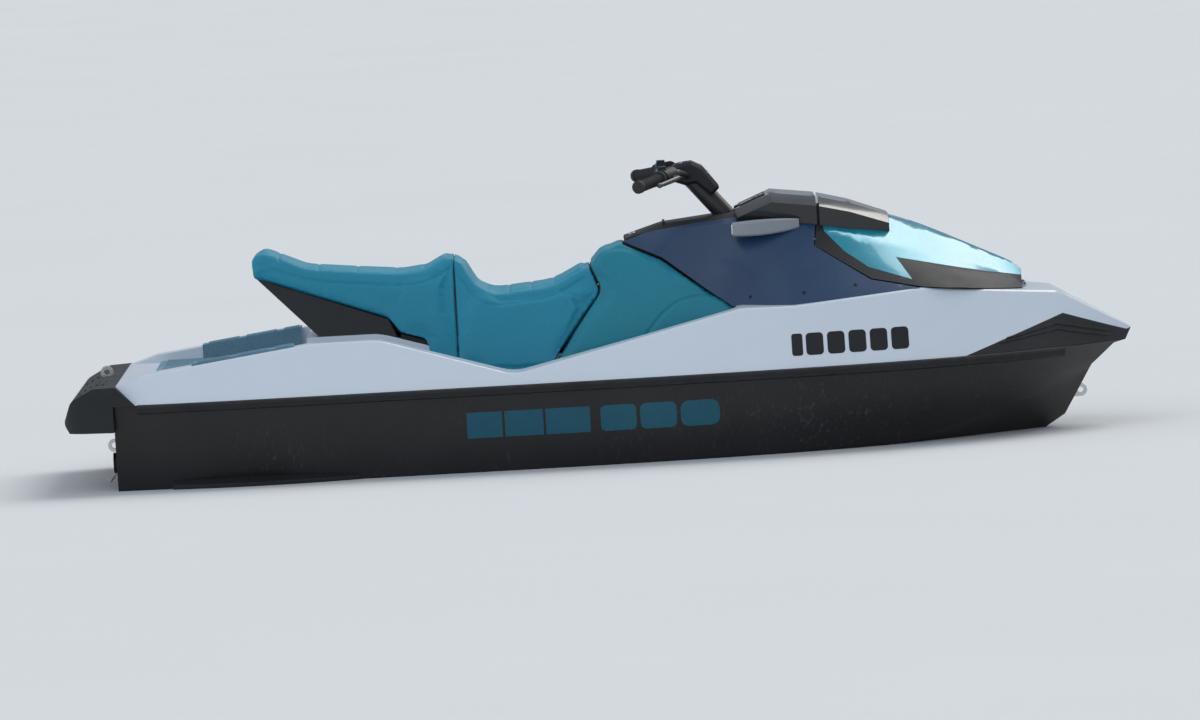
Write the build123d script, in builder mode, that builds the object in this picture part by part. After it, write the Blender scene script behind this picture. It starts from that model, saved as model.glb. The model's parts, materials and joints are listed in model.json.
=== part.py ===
"""Sit-down personal watercraft with jet drive, about 3.3 m long.

Frame: +X forward to the bow, +Y to port, +Z up. The origin is amidships, on the still waterline
of the empty craft. Millimetres.

The hull, the deck and the upper body are three fair blanks, each lofted through a short table of
stations. Each moulding is cut out of its blank by its own side profile, so that neighbours meet edge
to edge along shared profile points.
"""

import os
from math import cos, radians, sin

from build123d import *

os.makedirs("parts", exist_ok=True)

# Driving dimensions
BOND_Z = 265.0  # joint between hull and deck
BLANK_TOP_Z = 600.0  # where the deck blank's crown width is measured
BLANK_FOOT_Z = 300.0
TRANSOM_X = -1500.0
STERN_X = -1660.0
BOW_X = 1660.0

RUN_GAP = 0.3  # round a turning shaft or pin

# Hull and deck stations
# x, keel z, chine y, chine flat, chine z, side y, side z, bond y, crown y at BLANK_TOP_Z
STATIONS = (
    (-1700, -238, 452, 20, -94, 512, 8, 552, 368),
    (-1350, -242, 474, 22, -95, 534, 10, 576, 392),
    (-800, -247, 495, 24, -95, 556, 10, 603, 419),
    (-200, -248, 500, 24, -90, 563, 15, 612, 428),
    (350, -240, 470, 22, -68, 545, 40, 598, 412),
    (780, -204, 396, 18, -22, 482, 78, 549, 362),
    (1120, -124, 288, 14, 52, 376, 133, 455, 272),
    (1370, -5, 170, 9, 127, 240, 183, 318, 150),
    (1550, 112, 72, 5, 182, 112, 213, 170, 60),
    (1670, 215, 12, 1, 236, 16, 246, 26, 12),
)
KEEL_FLAT = 14.0  # half width of the keel's flat
STRAKE_SHARE = 0.56  # how far out a strake runs, as a share of the chine's half width
STRAKE_DEPTH = 15.0
BEAM = 2 * max(row[7] for row in STATIONS)

# Outline of the stem, below and ahead of which the hull is cut away
STEM = ((1425, -400), (1425, 10), (1434, 24), (1528, 196), (1600, 258), (1640, BOND_Z))

# Side profile of the deck's top edge, from stern to bow, and of the black nose below it
WHITE_END = ((-1431, BOND_Z), (-1490, 324))
PLATFORM_TOP = (-1398, 354)
# Side profile of the gunwale: x, z, radius of the corner
DECK_TOP = (
    (*PLATFORM_TOP, 0),
    (-879, 421, 260),
    (-676, 421, 200),
    (-264, 297, 150),
    (440, 454, 150),
    (607, 451, 300),
    (1002, 480, 100),
    (1421, 437, 0),
)
NOSE_TOP = (1652, 306)
GUNWALE_R = 14.0
NOSE_TIP = (BOW_X, 300)
NOSE_LOW = ((1123, BOND_Z), (1441, 367), (1645, 296))
STERN_TOP = ((-1560, 322, 30), (-1632, 284, 40), (-1658, 214, 26))
STERN_LOW = ((-1640, 185), (TRANSOM_X, 185))
STERN_CORNER_R = 120.0
STERN_PLAN = ((-1400, -582), (-1500, -575), (STERN_X, -520))
RAIL_OUT = 13.0
RAIL_ROOT = 12.0
RAIL_H = 30.0
RAIL_X = (-1425.0, 1440.0)

# Footwells, platform and pedestal
FOOTWELL = ((-980, 215), (-980, 440), (150, 440), (430, 392), (430, 215))
FOOTWELL_R = 50.0
FOOTWELL_Z = 55.0
TUB_WALL = 8.0
# Port half of the hull's inner space in plan, round both footwell tubs
INNER_FLOOR_Z = 22.0
INNER_SPACE = ((-1010, 0), (-1010, 475), (170, 475), (460, 425), (460, 0))
MAT_T = 6.0
MAT_GAP = 14.0
PLATFORM_Z = 330.0
PLATFORM_HALF = 418.0
PLATFORM_FRONT_X = -905.0
PLATFORM_MAT_X = (-1385.0, -1010.0)
WRAP_X = (-1254.0, -938.0)  # where the mat wraps over both gunwales
WRAP_OUT = 78.0
HATCH_X = (-830.0, -90.0)
HATCH_HALF = 150.0
HATCH_R = 40.0

# Engine bay and engine
BAY_X = (-850.0, -60.0)
BAY_HALF = 190.0
BAY_FLOOR_Z = -160.0
ENGINE = (600.0, 340.0, 380.0)
ENGINE_X = -460.0
ENGINE_Z = BAY_FLOOR_Z + ENGINE[2] / 2

# Front storage bin
BIN_X = (800.0, 1190.0)
BIN_HALF = 165.0
BIN_FLOOR_Z = 150.0
BIN_WALL = 5.0
BIN_R = 30.0
BIN_ROOM = 28.0  # between the bin and the hull
HOOD_WELL_X = (765.0, 1310.0)
FUEL_X = 1262.0
FUEL_R = 30.0
HOOD_WELL_HALF = 205.0
HOOD_WELL_Z = 380.0
BIN_FLANGE = 22.0
BUMPER_T = 38.0

# Upper body stations
# x, foot y, foot z, shoulder y, shoulder z, crown z
UPPER = (
    (-10, 285, 290, 118, 655, 685),
    (250, 305, 300, 138, 690, 722),
    (440, 352, 380, 165, 700, 745),
    (607, 440, 435, 205, 690, 745),
    (800, 437, 440, 228, 648, 722),
    (1003, 395, 470, 200, 585, 662),
    (1200, 315, 460, 148, 524, 570),
    (1300, 240, 445, 100, 474, 520),
    (1380, 150, 425, 60, 420, 436),
)
CROWN_HALF = 45.0
CONSOLE_HALF = 120.0
SEAM = 1.0  # open joint between neighbouring mouldings

# Side profiles on the upper body
SLATE_TIP = (84, 664)
CONSOLE_TOP = ((216, 706), (440, 728), (660, 735))
HOOD_REAR = (700, 742)
HOOD_CORNER = (684, 622)
HOOD_LOW = (852, 515)
HOOD_FOOT_X = 1004.0
FAIRING_FOOT_X = 420.0
SEAT_FRONT = ((210, 607, 60), (335, 509, 60))
TEAL_NOTCH = (
    (701, 745),
    (716, 662),
    (775, 599),
    (845, 549),
    (978, 504),
    (934, 571),
    (1100, 533, 200),
    (1345, 478),
)
HOOD_WALL = 14.0
HOOD_GAP = 3.0
HINGE = (1335.0, 455.0)
HINGE_PIN_R = 3.0
HOOD_EDGE_X = HINGE[0] - 9.0
HINGE_BARREL_R = 5.5
HINGE_LUG_R = 6.5
HINGE_LUG_Y = (42.0, 52.0)
HINGE_LEAF_HALF = HINGE_LUG_Y[0] - 0.5

# Seat
# Side profile of the seat's top: x, z, radius of the corner
SEAT_TOP = (
    (-1068, 690, 30),
    (-1028, 692, 24),
    (-896, 634, 120),
    (-747, 617, 200),
    (-600, 603, 150),
    (-520, 612, 60),
    (-452, 650, 34),
    (-415, 640, 34),
    (-366, 545, 56),
    (-310, 528, 120),
    (-128, 544, 200),
)
SEAT_REAR_LOW = (-1062, 613)
SEAT_SEAM = ((-19, 600), (13, 519, 40))
SKIRT_X = (-520.0, -152.0)
SKIRT_DROP = 34.0
CUSHION_R = 18.0
SUPPORT_TOP = (-648, 464)
SUPPORT_FOOT_X = (-866.0, -622.0)
SUPPORT_INSET = 24.0
SEAT_SPLIT_X = -437.0
SEAT_PAN_T = 14.0
SEAT_PAN_HALF = 209.0
SKIRT_HALF = 220.0
NOSE_SEAM = 4.0
# Seat stations: x, half width at BLANK_FOOT_Z, half width at z 700
SEAT_STATIONS = (
    (-1120, 232, 108),
    (-650, 262, 128),
    (-264, 276, 122),
    (60, 291, 118),
    (250, 305, 132),
    (460, 352, 168),
)
SEAT_HIGH_Z = 700.0

# Steering
COLUMN_BASE = (432.0, 0.0, 702.0)
COLUMN_RAKE = 40.0  # degrees aft of vertical
COLUMN_R = 30.0
BAR_R = 11.0
GRIP_R = 17.0
GRIP_FLANGE_R = 25.0
POD_R = 26.0
# Side profile of the padded cover over the bar's clamp and the upper column: x, z
PAD_SIDE = ((246, 838), (262, 884), (318, 893), (352, 876), (404, 808), (376, 784), (330, 824), (296, 820))
PAD_HALF = 64.0
PAD_R = 9.0
BAR_HALF = ((302, 0, 850), (302, 62, 850), (272, 150, 866), (150, 372, 838))
BAR_BEND_R = 45.0
GRIP_START = 0.45  # share of the outer run where the grip begins
LEVER_R = 6.0
COLUMN_DEPTH = 60.0
COLUMN_LENGTH = 236.0  # from the foot in the console up to the bar

# Glovebox behind the steering
LID_LINE = ((99, 669), (219, 707))  # the lid's top in side view
LID_HALF = 78.0
LID_T = 12.0
LID_GAP = 3.0
LID_BARREL_R = 4.5
LID_AXIS = (LID_LINE[1][0] + LID_GAP, LID_LINE[1][1] + 1)  # x, z
CONSOLE_REAR_X = 96.0
GLOVE_X = (112.0, 208.0)
GLOVE_HALF = 62.0
GLOVE_FLOOR_Z = 545.0

# Visor over the gauge, in two parts, and mirrors
POD_X = (445.0, 560.0, 696.0)
POD_HALF = (170.0, 205.0, 215.0)
POD_Z = (740.0, 786.0, 768.0)
VISOR_X = (704.0, 800.0, 921.0)
VISOR_HALF = (215.0, 200.0, 150.0)
VISOR_Z = (766.0, 742.0, 698.0)
# Mirror shell stations: x, inner y, outer y, low z, high z
MIRROR = ((432, 206, 248, 662, 704), (540, 200, 250, 662, 710), (640, 200, 222, 676, 706))
GLASS_T = 2.5
GLASS_INSET = 4.0
SCREEN_X = (460.0, 540.0)
SCREEN_HALF = 55.0
SCREEN_T = 3.0

# Jet drive
PUMP_Z = -115.0
TUNNEL_HALF = 115.0
TUNNEL_FRONT_X = -1240.0
GATE_RECESS_X = -1365.0
GATE_RECESS_Z = 105.0
RING_R = 80.0
RING_WALL = 10.0
RING_X = (TUNNEL_FRONT_X - 3.0, TUNNEL_FRONT_X - 82.0)
STATOR_END_X = -1370.0
VENTURI_NECK_X = -1408.0
VENTURI_END_X = -1446.0
VENTURI_R = 43.0
VENTURI_WALL = 9.0
CONE_END_X = VENTURI_END_X + 10.0  # tip of the tail cone
NOZZLE_PIVOT_X = -1440.0
NOZZLE_X = (-1434.0, -1560.0)
NOZZLE_R = 70.0
NOZZLE_EXIT_R = 40.0
NOZZLE_WALL = 6.0
PIVOT_PIN_R = 6.0
PIVOT_REACH = 95.0
LUG_Z = (82.0, 92.0)
LUG_HALF = 14.0
RING_FLANGE = 6.0
FLANGE_T = 10.0
HUB_R = 34.0
BLADE_R = 75.0
BLADES = 4
VANES = 5
BLADE_T = 5.0
SHAFT_R = 14.0
SHAFT_X = (-1352.0, -760.0 - RUN_GAP)
IMPELLER_X = (-1316.0, -1254.0)
GATE_PIVOT_X = -1385.0
GATE_PIN_R = 8.0
GATE_R = 196.0
GATE_T = 6.0
GATE_ANGLES = (28.0, 76.0)
GATE_ARM_Y = (97.0, 104.0)
DUCT_R = 76.0
DUCT_FRONT = (-720.0, -330.0)
GRATE_X = (TUNNEL_FRONT_X + 135.0, TUNNEL_FRONT_X + 480.0)
GRATE_HALF = 60.0
GRATE_BARS = 5
PLATE_X = (-1538.0, TUNNEL_FRONT_X - 3.0)
PLATE_Z = (-232.0, -214.0)
PLATE_GAP = 0.3
PLATE_CORNER_R = 30.0
PLATE_RIB_H = 9.0

# x, inner y (inside the planking), outer y
SPONSON = ((-1330, 500, 556), (-1180, 500, 592), (-900, 500, 590), (-760, 500, 560))

EYE_HOLE_R = 9.0
EYE_R = 20.0
EYE_T = 10.0
EXHAUST = (TRANSOM_X, -260.0, 70.0)
EXHAUST_R = 32.0
EXHAUST_REACH = 22.0
DRAIN = (170.0, -140.0)  # y, z
DRAIN_R = 15.0

BOW_EYE = (1495.0, 0.0, 110.0)
STERN_EYE = (TRANSOM_X - 13.0, 330.0, 130.0)
TOW_EYE = (-1540.0, 0.0, 336.0)
EYES = (BOW_EYE, STERN_EYE, (STERN_EYE[0], -STERN_EYE[1], STERN_EYE[2]), TOW_EYE)


def deck_run(raised, x_from, x_to):
    """The gunwale's side profile between two values of x, raised a little, from stern to bow."""
    inner = [(x, z + raised, r) for x, z, r in DECK_TOP if x_from < x < x_to]
    ends = []
    for x in (x_from, x_to):
        for (x0, z0, r0), (x1, z1, r1) in zip(DECK_TOP, DECK_TOP[1:]):
            if x0 <= x < x1:
                ends.append((x, z0 + (z1 - z0) * (x - x0) / (x1 - x0) + raised))
    return [ends[0], *inner, ends[1]]


def half_outline(half):
    """A closed outline, the same on both sides, from its port points listed from below to above."""
    with BuildLine() as outline:
        Polyline(*half, *[(-y, z) for y, z in reversed(half)], close=True)
    make_face(outline.edges())


def profile(points, y=0.0):
    """A side-view face through points (x, z), or (x, z, r) where the corner is rounded, standing at y."""
    with BuildSketch(Plane.XZ.offset(-y)) as face:
        with BuildLine():
            radii = [[*point, 0][2] for point in points]
            FilletPolyline(*[point[:2] for point in points], radius=radii, close=True)
        make_face()
    return face.sketch


def across(points, mode=Mode.ADD, half=BEAM):
    """A prism with the given side profile, as wide as half on each side of the keel line."""
    extrude(profile(points), amount=half, both=True, mode=mode)


def across_port(points, low_y, high_y, mode=Mode.ADD):
    """A prism with the given side profile between two values of y."""
    extrude(profile(points, y=low_y), amount=low_y - high_y, mode=mode)


def block(x, y, z, mode=Mode.ADD):
    """A box between two values on each axis."""
    with Locations(((x[0] + x[1]) / 2, (y[0] + y[1]) / 2, (z[0] + z[1]) / 2)):
        Box(x[1] - x[0], y[1] - y[0], z[1] - z[0], mode=mode)


def rod(start, end, radius, mode=Mode.ADD):
    """A round rod between two points."""
    run = Vector(*end) - Vector(*start)
    with BuildSketch(Plane(origin=start, z_dir=run)) as disc:
        Circle(radius)
    extrude(disc.sketch, amount=run.length, mode=mode)


def well(x, half, low_z, high_z, radius, mode=Mode.ADD):
    """An upright block with rounded corners, centred on the keel line."""
    with BuildSketch(Plane.XY.offset(low_z)) as plan:
        with Locations(((x[0] + x[1]) / 2, 0)):
            RectangleRounded(x[1] - x[0], 2 * half, radius)
    extrude(plan.sketch, amount=high_z - low_z, mode=mode)


def footwell(grow, low_z, high_z, mode=Mode.ADD):
    """The two footwells' space, grown outwards by grow."""
    with BuildSketch(Plane.XY.offset(low_z)) as plan:
        with BuildLine():
            Polyline(*FOOTWELL, close=True)
        make_face()
        fillet(plan.vertices(), FOOTWELL_R)
        if grow:
            offset(amount=grow)
        mirror(about=Plane.XZ)
    extrude(plan.sketch, amount=high_z - low_z, mode=mode)


# The three blanks
with BuildPart() as hull_blank:
    for x, keel, chine, flat, low, side, mid, bond, crown in STATIONS:
        with BuildSketch(Plane.YZ.offset(x)):
            bottom = [(KEEL_FLAT * min(1, chine / 170), keel), (chine, low), (chine + flat, low + 6)]
            half_outline([*bottom, (side, mid), (bond, BOND_Z)])
    loft()

with BuildPart() as deck_blank:
    for row in STATIONS:
        with BuildSketch(Plane.YZ.offset(row[0])):
            half_outline([(row[7], BOND_Z), (row[8], BLANK_TOP_Z)])
    loft()

with BuildPart() as upper_blank:
    for x, foot_y, foot_z, shoulder_y, shoulder_z, crown_z in UPPER:
        with BuildSketch(Plane.YZ.offset(x)):
            side = [(foot_y, foot_z - 60), (foot_y, foot_z), (shoulder_y, shoulder_z)]
            half_outline([*side, (CROWN_HALF, crown_z)])
    loft()

with BuildPart() as upper_inside:
    for x, foot_y, foot_z, shoulder_y, shoulder_z, crown_z in UPPER:
        with BuildSketch(Plane.YZ.offset(x)):
            half_outline(
                [
                    (foot_y - HOOD_WALL, foot_z - 70),
                    (foot_y - HOOD_WALL, foot_z - HOOD_WALL / 2),
                    (shoulder_y - HOOD_WALL / 2, shoulder_z - HOOD_WALL),
                    (CROWN_HALF - HOOD_WALL / 2, crown_z - HOOD_WALL),
                ]
            )
    loft()
    inner_edge = HOOD_EDGE_X - HOOD_WALL
    across([(-100, 0), (inner_edge, 0), (inner_edge, 900), (-100, 900)], Mode.INTERSECT)

with BuildPart() as seat_blank:
    for x, low_half, high_half in SEAT_STATIONS:
        with BuildSketch(Plane.YZ.offset(x)):
            half_outline([(low_half, BLANK_FOOT_Z - 50), (high_half, SEAT_HIGH_Z + 30)])
    loft()

# A running strake on the port bottom
with BuildPart() as strake:
    for x, keel, chine, flat, low, side, mid, bond, crown in STATIONS[1:7]:
        middle = STRAKE_SHARE * chine
        rise = (low - keel) / (chine - KEEL_FLAT)
        drop = STRAKE_DEPTH * (0.2 if x in (STATIONS[1][0], STATIONS[6][0]) else 1)
        with BuildSketch(Plane.YZ.offset(x)):
            with BuildLine():
                Polyline(
                    (middle - 34, keel + rise * (middle - 34) + 8),
                    (middle, keel + rise * middle - drop),
                    (middle + 7, keel + rise * (middle + 7) + 8),
                    close=True,
                )
            make_face()
    loft()

# Hull: V bottom with chines, pockets for the footwells, engine, bin and jet drive
duct_way = Vector(DUCT_FRONT[0] - TUNNEL_FRONT_X, 0, DUCT_FRONT[1] - PUMP_Z)
with BuildPart() as hull:
    add(hull_blank.part)
    across([(TRANSOM_X, -400), *STEM, (TRANSOM_X, BOND_Z)], Mode.INTERSECT)
    with BuildSketch(Plane.XY.offset(INNER_FLOOR_Z)) as plan:
        with BuildLine():
            Polyline(*INNER_SPACE, close=True)
        make_face()
        mirror(about=Plane.XZ)
    extrude(plan.sketch, amount=BOND_Z - INNER_FLOOR_Z, mode=Mode.SUBTRACT)
    well(BAY_X, BAY_HALF, BAY_FLOOR_Z, BOND_Z, HATCH_R, Mode.SUBTRACT)
    room = (BIN_X[0] - BIN_ROOM, BIN_X[1] + BIN_ROOM)
    well(room, BIN_HALF + BIN_ROOM, BIN_FLOOR_Z - BIN_WALL, BOND_Z, BIN_R, Mode.SUBTRACT)
    block((TRANSOM_X - 10, TUNNEL_FRONT_X), (-TUNNEL_HALF, TUNNEL_HALF), (-400, PUMP_Z), Mode.SUBTRACT)
    rod((TRANSOM_X - 10, 0, PUMP_Z), (TUNNEL_FRONT_X, 0, PUMP_Z), TUNNEL_HALF, Mode.SUBTRACT)
    recess = (TRANSOM_X - 10, GATE_RECESS_X)
    block(recess, (-TUNNEL_HALF, TUNNEL_HALF), (PUMP_Z, GATE_RECESS_Z), Mode.SUBTRACT)
    duct_end = (TUNNEL_FRONT_X + duct_way.X, 0, PUMP_Z + duct_way.Z)
    rod((TUNNEL_FRONT_X, 0, PUMP_Z), duct_end, DUCT_R, Mode.SUBTRACT)
    rod((TUNNEL_FRONT_X, 0, PUMP_Z), (BAY_X[0] + 10, 0, PUMP_Z), SHAFT_R + RUN_GAP, Mode.SUBTRACT)
hull.part.label = "hull"
export_step(hull.part, "parts/hull.step")

with BuildPart() as strakes:
    add(strake.part)
    mirror(strake.part, about=Plane.XZ)
    add(hull_blank.part, mode=Mode.SUBTRACT)
strakes.part.label = "strakes"
export_step(strakes.part, "parts/strakes.step")

# Black bumper round the bow, a band outside the deck
with BuildPart() as bow_core:
    for row in STATIONS:
        with BuildSketch(Plane.YZ.offset(row[0] - BUMPER_T)):
            half_outline([(max(row[7] - BUMPER_T, 4), BOND_Z - 1), (max(row[8] - BUMPER_T, 2), BLANK_TOP_Z)])
    loft()

with BuildPart() as bow_bumper:
    add(deck_blank.part)
    across([NOSE_LOW[0], NOSE_LOW[1], NOSE_LOW[2], NOSE_TIP, (1640, BOND_Z)], Mode.INTERSECT)
    add(bow_core.part, mode=Mode.SUBTRACT)
bow_bumper.part.label = "bow_bumper"
export_step(bow_bumper.part, "parts/bow_bumper.step")

# Deck: gunwales, pedestal, stern platform recess and the well under the hood
with BuildPart() as deck:
    add(deck_blank.part)
    across([WHITE_END[0], WHITE_END[1], *DECK_TOP, NOSE_TOP, NOSE_TIP, (1640, BOND_Z)], Mode.INTERSECT)
    high = [e for e in deck.edges() if e.center().Z > 290 and abs(e.center().Y) > 100]
    fillet([e for e in high if PLATFORM_TOP[0] < e.center().X < 1400], GUNWALE_R)
    add(bow_bumper.part, mode=Mode.SUBTRACT)
    footwell(0, BOND_Z - 10, BLANK_TOP_Z, Mode.SUBTRACT)
    well(HATCH_X, HATCH_HALF, BOND_Z - 10, BLANK_TOP_Z, HATCH_R, Mode.SUBTRACT)
    well(BIN_X, BIN_HALF, BOND_Z - 10, BLANK_TOP_Z, BIN_R, Mode.SUBTRACT)
    well(HOOD_WELL_X, HOOD_WELL_HALF, HOOD_WELL_Z, BLANK_TOP_Z, BIN_R, Mode.SUBTRACT)
    platform = (STERN_X - 50, PLATFORM_FRONT_X)
    block(platform, (-PLATFORM_HALF, PLATFORM_HALF), (PLATFORM_Z, BLANK_TOP_Z), Mode.SUBTRACT)
    for side in (-1, 1):
        low_y = min(side * HINGE_LUG_Y[0], side * HINGE_LUG_Y[1])
        high_y = low_y + HINGE_LUG_Y[1] - HINGE_LUG_Y[0]
        block((HINGE[0] - HINGE_LUG_R, HINGE[0] + HINGE_LUG_R), (low_y, high_y), (HINGE[1] - 25, HINGE[1]))
        rod((HINGE[0], low_y, HINGE[1]), (HINGE[0], high_y, HINGE[1]), HINGE_LUG_R)
    rod((HINGE[0], -80, HINGE[1]), (HINGE[0], 80, HINGE[1]), HINGE_PIN_R + RUN_GAP, Mode.SUBTRACT)
deck.part.label = "deck"
export_step(deck.part, "parts/deck.step")

# Tubs of the footwells, hung from the deck
with BuildPart() as footwell_tubs:
    footwell(TUB_WALL, FOOTWELL_Z - TUB_WALL, BOND_Z)
    footwell(0, FOOTWELL_Z, BLANK_TOP_Z, Mode.SUBTRACT)
footwell_tubs.part.label = "footwell_tubs"
export_step(footwell_tubs.part, "parts/footwell_tubs.step")

# Rub rail over the bond line, one run on each side
with BuildPart() as gunwale_rail:
    for row in STATIONS:
        with BuildSketch(Plane.YZ.offset(row[0])):
            inner, outer = row[7] - RAIL_ROOT, row[7] + RAIL_OUT
            face = [(outer - 3, BOND_Z - RAIL_H + 6), (outer, BOND_Z - 8), (outer - 3, BOND_Z - 2)]
            half_outline([(inner, BOND_Z - RAIL_H), *face, (row[7] - 4, BOND_Z + 2)])
    loft()
    across([(RAIL_X[0], 0), (RAIL_X[1], 0), (RAIL_X[1], 600), (RAIL_X[0], 600)], Mode.INTERSECT)
    add(hull_blank.part, mode=Mode.SUBTRACT)
    add(deck_blank.part, mode=Mode.SUBTRACT)
gunwale_rail.part.label = "gunwale_rail"
export_step(gunwale_rail.part, "parts/gunwale_rail.step")

# Black bumper and step round the stern
with BuildPart() as stern_bumper:
    with BuildSketch(Plane.XY.offset(100)) as plan:
        with BuildLine():
            Polyline(*STERN_PLAN, *[(x, -y) for x, y in reversed(STERN_PLAN)], close=True)
        make_face()
        fillet(plan.vertices().sort_by(Axis.X)[:2], STERN_CORNER_R)
    extrude(amount=400)
    across([WHITE_END[1], *STERN_TOP, *STERN_LOW, (TRANSOM_X, BOND_Z), WHITE_END[0]], Mode.INTERSECT)
stern_bumper.part.label = "stern_bumper"
export_step(stern_bumper.part, "parts/stern_bumper.step")

# Mats
with BuildPart() as footwell_mats:
    footwell(-MAT_GAP, FOOTWELL_Z, FOOTWELL_Z + MAT_T)
footwell_mats.part.label = "footwell_mats"
export_step(footwell_mats.part, "parts/footwell_mats.step")

with BuildPart() as platform_mat:
    well(PLATFORM_MAT_X, PLATFORM_HALF - MAT_GAP, PLATFORM_Z, PLATFORM_Z + MAT_T, 30)
    crest = [*deck_run(MAT_T, *WRAP_X), *reversed(deck_run(-GUNWALE_R, *WRAP_X))]
    lining = [*deck_run(MAT_T, *WRAP_X), (WRAP_X[1], PLATFORM_Z), (WRAP_X[0], PLATFORM_Z)]
    for side in (-1, 1):
        for outline, reach in ((crest, WRAP_OUT), (lining, 0)):
            low, high = sorted((side * (PLATFORM_HALF - MAT_T), side * (PLATFORM_HALF + reach)))
            across_port(outline, low, high)
    add(deck.part, mode=Mode.SUBTRACT)
platform_mat.part.label = "platform_mat"
export_step(platform_mat.part, "parts/platform_mat.step")

# Fairings beside the steering, and the console between them
FAIRING = [
    *SEAT_FRONT,
    *deck_run(0, FAIRING_FOOT_X, HOOD_FOOT_X - 2 * HOOD_GAP),
    (HOOD_LOW[0] - HOOD_GAP, HOOD_LOW[1] - HOOD_GAP),
    (HOOD_CORNER[0] - HOOD_GAP, HOOD_CORNER[1]),
    (HOOD_REAR[0] - HOOD_GAP, HOOD_REAR[1]),
    (690, 800),
    (60, 800),
    SLATE_TIP,
]
with BuildPart() as side_fairings:
    add(upper_blank.part)
    across(FAIRING, Mode.INTERSECT)
    well(HOOD_WELL_X, HOOD_WELL_HALF, HOOD_WELL_Z, 900, BIN_R, Mode.SUBTRACT)
    block((-200, 1500), (-CONSOLE_HALF - SEAM, CONSOLE_HALF + SEAM), (0, 900), Mode.SUBTRACT)
side_fairings.part.label = "side_fairings"
export_step(side_fairings.part, "parts/side_fairings.step")

column_way = Vector(-sin(radians(COLUMN_RAKE)), 0, cos(radians(COLUMN_RAKE)))


def up_column(distance):
    """A point on the steering column's axis, distance above its base."""
    return tuple(Vector(*COLUMN_BASE) + column_way * distance)


with BuildPart() as console:
    add(upper_blank.part)
    across(
        [
            (CONSOLE_REAR_X, 668),
            deck_run(0, CONSOLE_REAR_X, 500)[0],
            *deck_run(0, FAIRING_FOOT_X, HOOD_CORNER[0] - HOOD_GAP),
            (HOOD_CORNER[0] - HOOD_GAP, HOOD_CORNER[1]),
            (HOOD_REAR[0] - HOOD_GAP, 738),
            *reversed(CONSOLE_TOP),
        ],
        Mode.INTERSECT,
    )
    block((-200, 1500), (-CONSOLE_HALF, CONSOLE_HALF), (0, 900), Mode.INTERSECT)
    across(
        [
            (LID_LINE[0][0] - LID_GAP, LID_LINE[0][1] - LID_T - RUN_GAP),
            (LID_LINE[1][0] + LID_GAP, LID_LINE[1][1] - LID_T - RUN_GAP),
            (LID_LINE[1][0] + LID_GAP, 830),
            (LID_LINE[0][0] - LID_GAP, 830),
        ],
        Mode.SUBTRACT,
        LID_HALF + LID_GAP,
    )
    well(GLOVE_X, GLOVE_HALF, GLOVE_FLOOR_Z, 800, 20, Mode.SUBTRACT)
    rod(up_column(-COLUMN_DEPTH), up_column(100), COLUMN_R + RUN_GAP, Mode.SUBTRACT)
    x, z = LID_AXIS
    rod((x, -BEAM, z), (x, BEAM, z), LID_BARREL_R + RUN_GAP, Mode.SUBTRACT)
console.part.label = "console"
export_step(console.part, "parts/console.step")

# Storage bin under the hood
with BuildPart() as storage_bin:
    # inset from the opening, height and mode of the bin's outside, its flange and its inside
    for inset, low, high, mode in (
        (RUN_GAP, BIN_FLOOR_Z - BIN_WALL, HOOD_WELL_Z, Mode.ADD),
        (-BIN_FLANGE, HOOD_WELL_Z, HOOD_WELL_Z + BIN_WALL, Mode.ADD),
        (BIN_WALL, BIN_FLOOR_Z, HOOD_WELL_Z + 2 * BIN_WALL, Mode.SUBTRACT),
    ):
        well((BIN_X[0] + inset, BIN_X[1] - inset), BIN_HALF - inset, low, high, BIN_R, mode)
storage_bin.part.label = "storage_bin"
export_step(storage_bin.part, "parts/storage_bin.step")

# Hood: painted cover over a black lower trim that carries the hinge
HOOD = [
    HOOD_REAR,
    HOOD_CORNER,
    HOOD_LOW,
    *deck_run(HOOD_GAP, HOOD_FOOT_X, HOOD_EDGE_X),
    (HOOD_EDGE_X, 900),
    (HOOD_REAR[0], 900),
]
TEAL = [(600, 745), *TEAL_NOTCH, (1500, 450), (1500, 900), (600, 900)]
with BuildPart() as hood_cover:
    add(upper_blank.part)
    across(HOOD, Mode.INTERSECT)
    add(upper_inside.part, mode=Mode.SUBTRACT)
    across(TEAL, Mode.INTERSECT)
hood_cover.part.label = "hood_cover"
export_step(hood_cover.part, "parts/hood_cover.step")

with BuildPart() as hood_trim:
    add(upper_blank.part)
    across(HOOD, Mode.INTERSECT)
    add(upper_inside.part, mode=Mode.SUBTRACT)
    across(TEAL, Mode.SUBTRACT)
    leaf_top = HINGE[1] + HINGE_BARREL_R - 0.5
    block((HINGE[0] - 24, HINGE[0]), (-HINGE_LEAF_HALF, HINGE_LEAF_HALF), (HINGE[1] - 2, leaf_top))
    rod((HINGE[0], -HINGE_LEAF_HALF, HINGE[1]), (HINGE[0], HINGE_LEAF_HALF, HINGE[1]), HINGE_BARREL_R)
    rod((HINGE[0], -HINGE_LUG_Y[1], HINGE[1]), (HINGE[0], HINGE_LUG_Y[1], HINGE[1]), HINGE_PIN_R)
hood_trim.part.label = "hood_trim"
export_step(hood_trim.part, "parts/hood_trim.step")

# Gauge pod on the console, and the visor that carries its line on over the hood's rear edge
with BuildPart() as gauge_pod:
    for x, half, top in zip(POD_X, POD_HALF, POD_Z):
        with BuildSketch(Plane.YZ.offset(x)):
            half_outline([(half - 20, 640), (half, top - 26), (half - 60, top)])
    loft(ruled=True)
    add(upper_blank.part, mode=Mode.SUBTRACT)
gauge_pod.part.label = "gauge_pod"
export_step(gauge_pod.part, "parts/gauge_pod.step")

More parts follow.
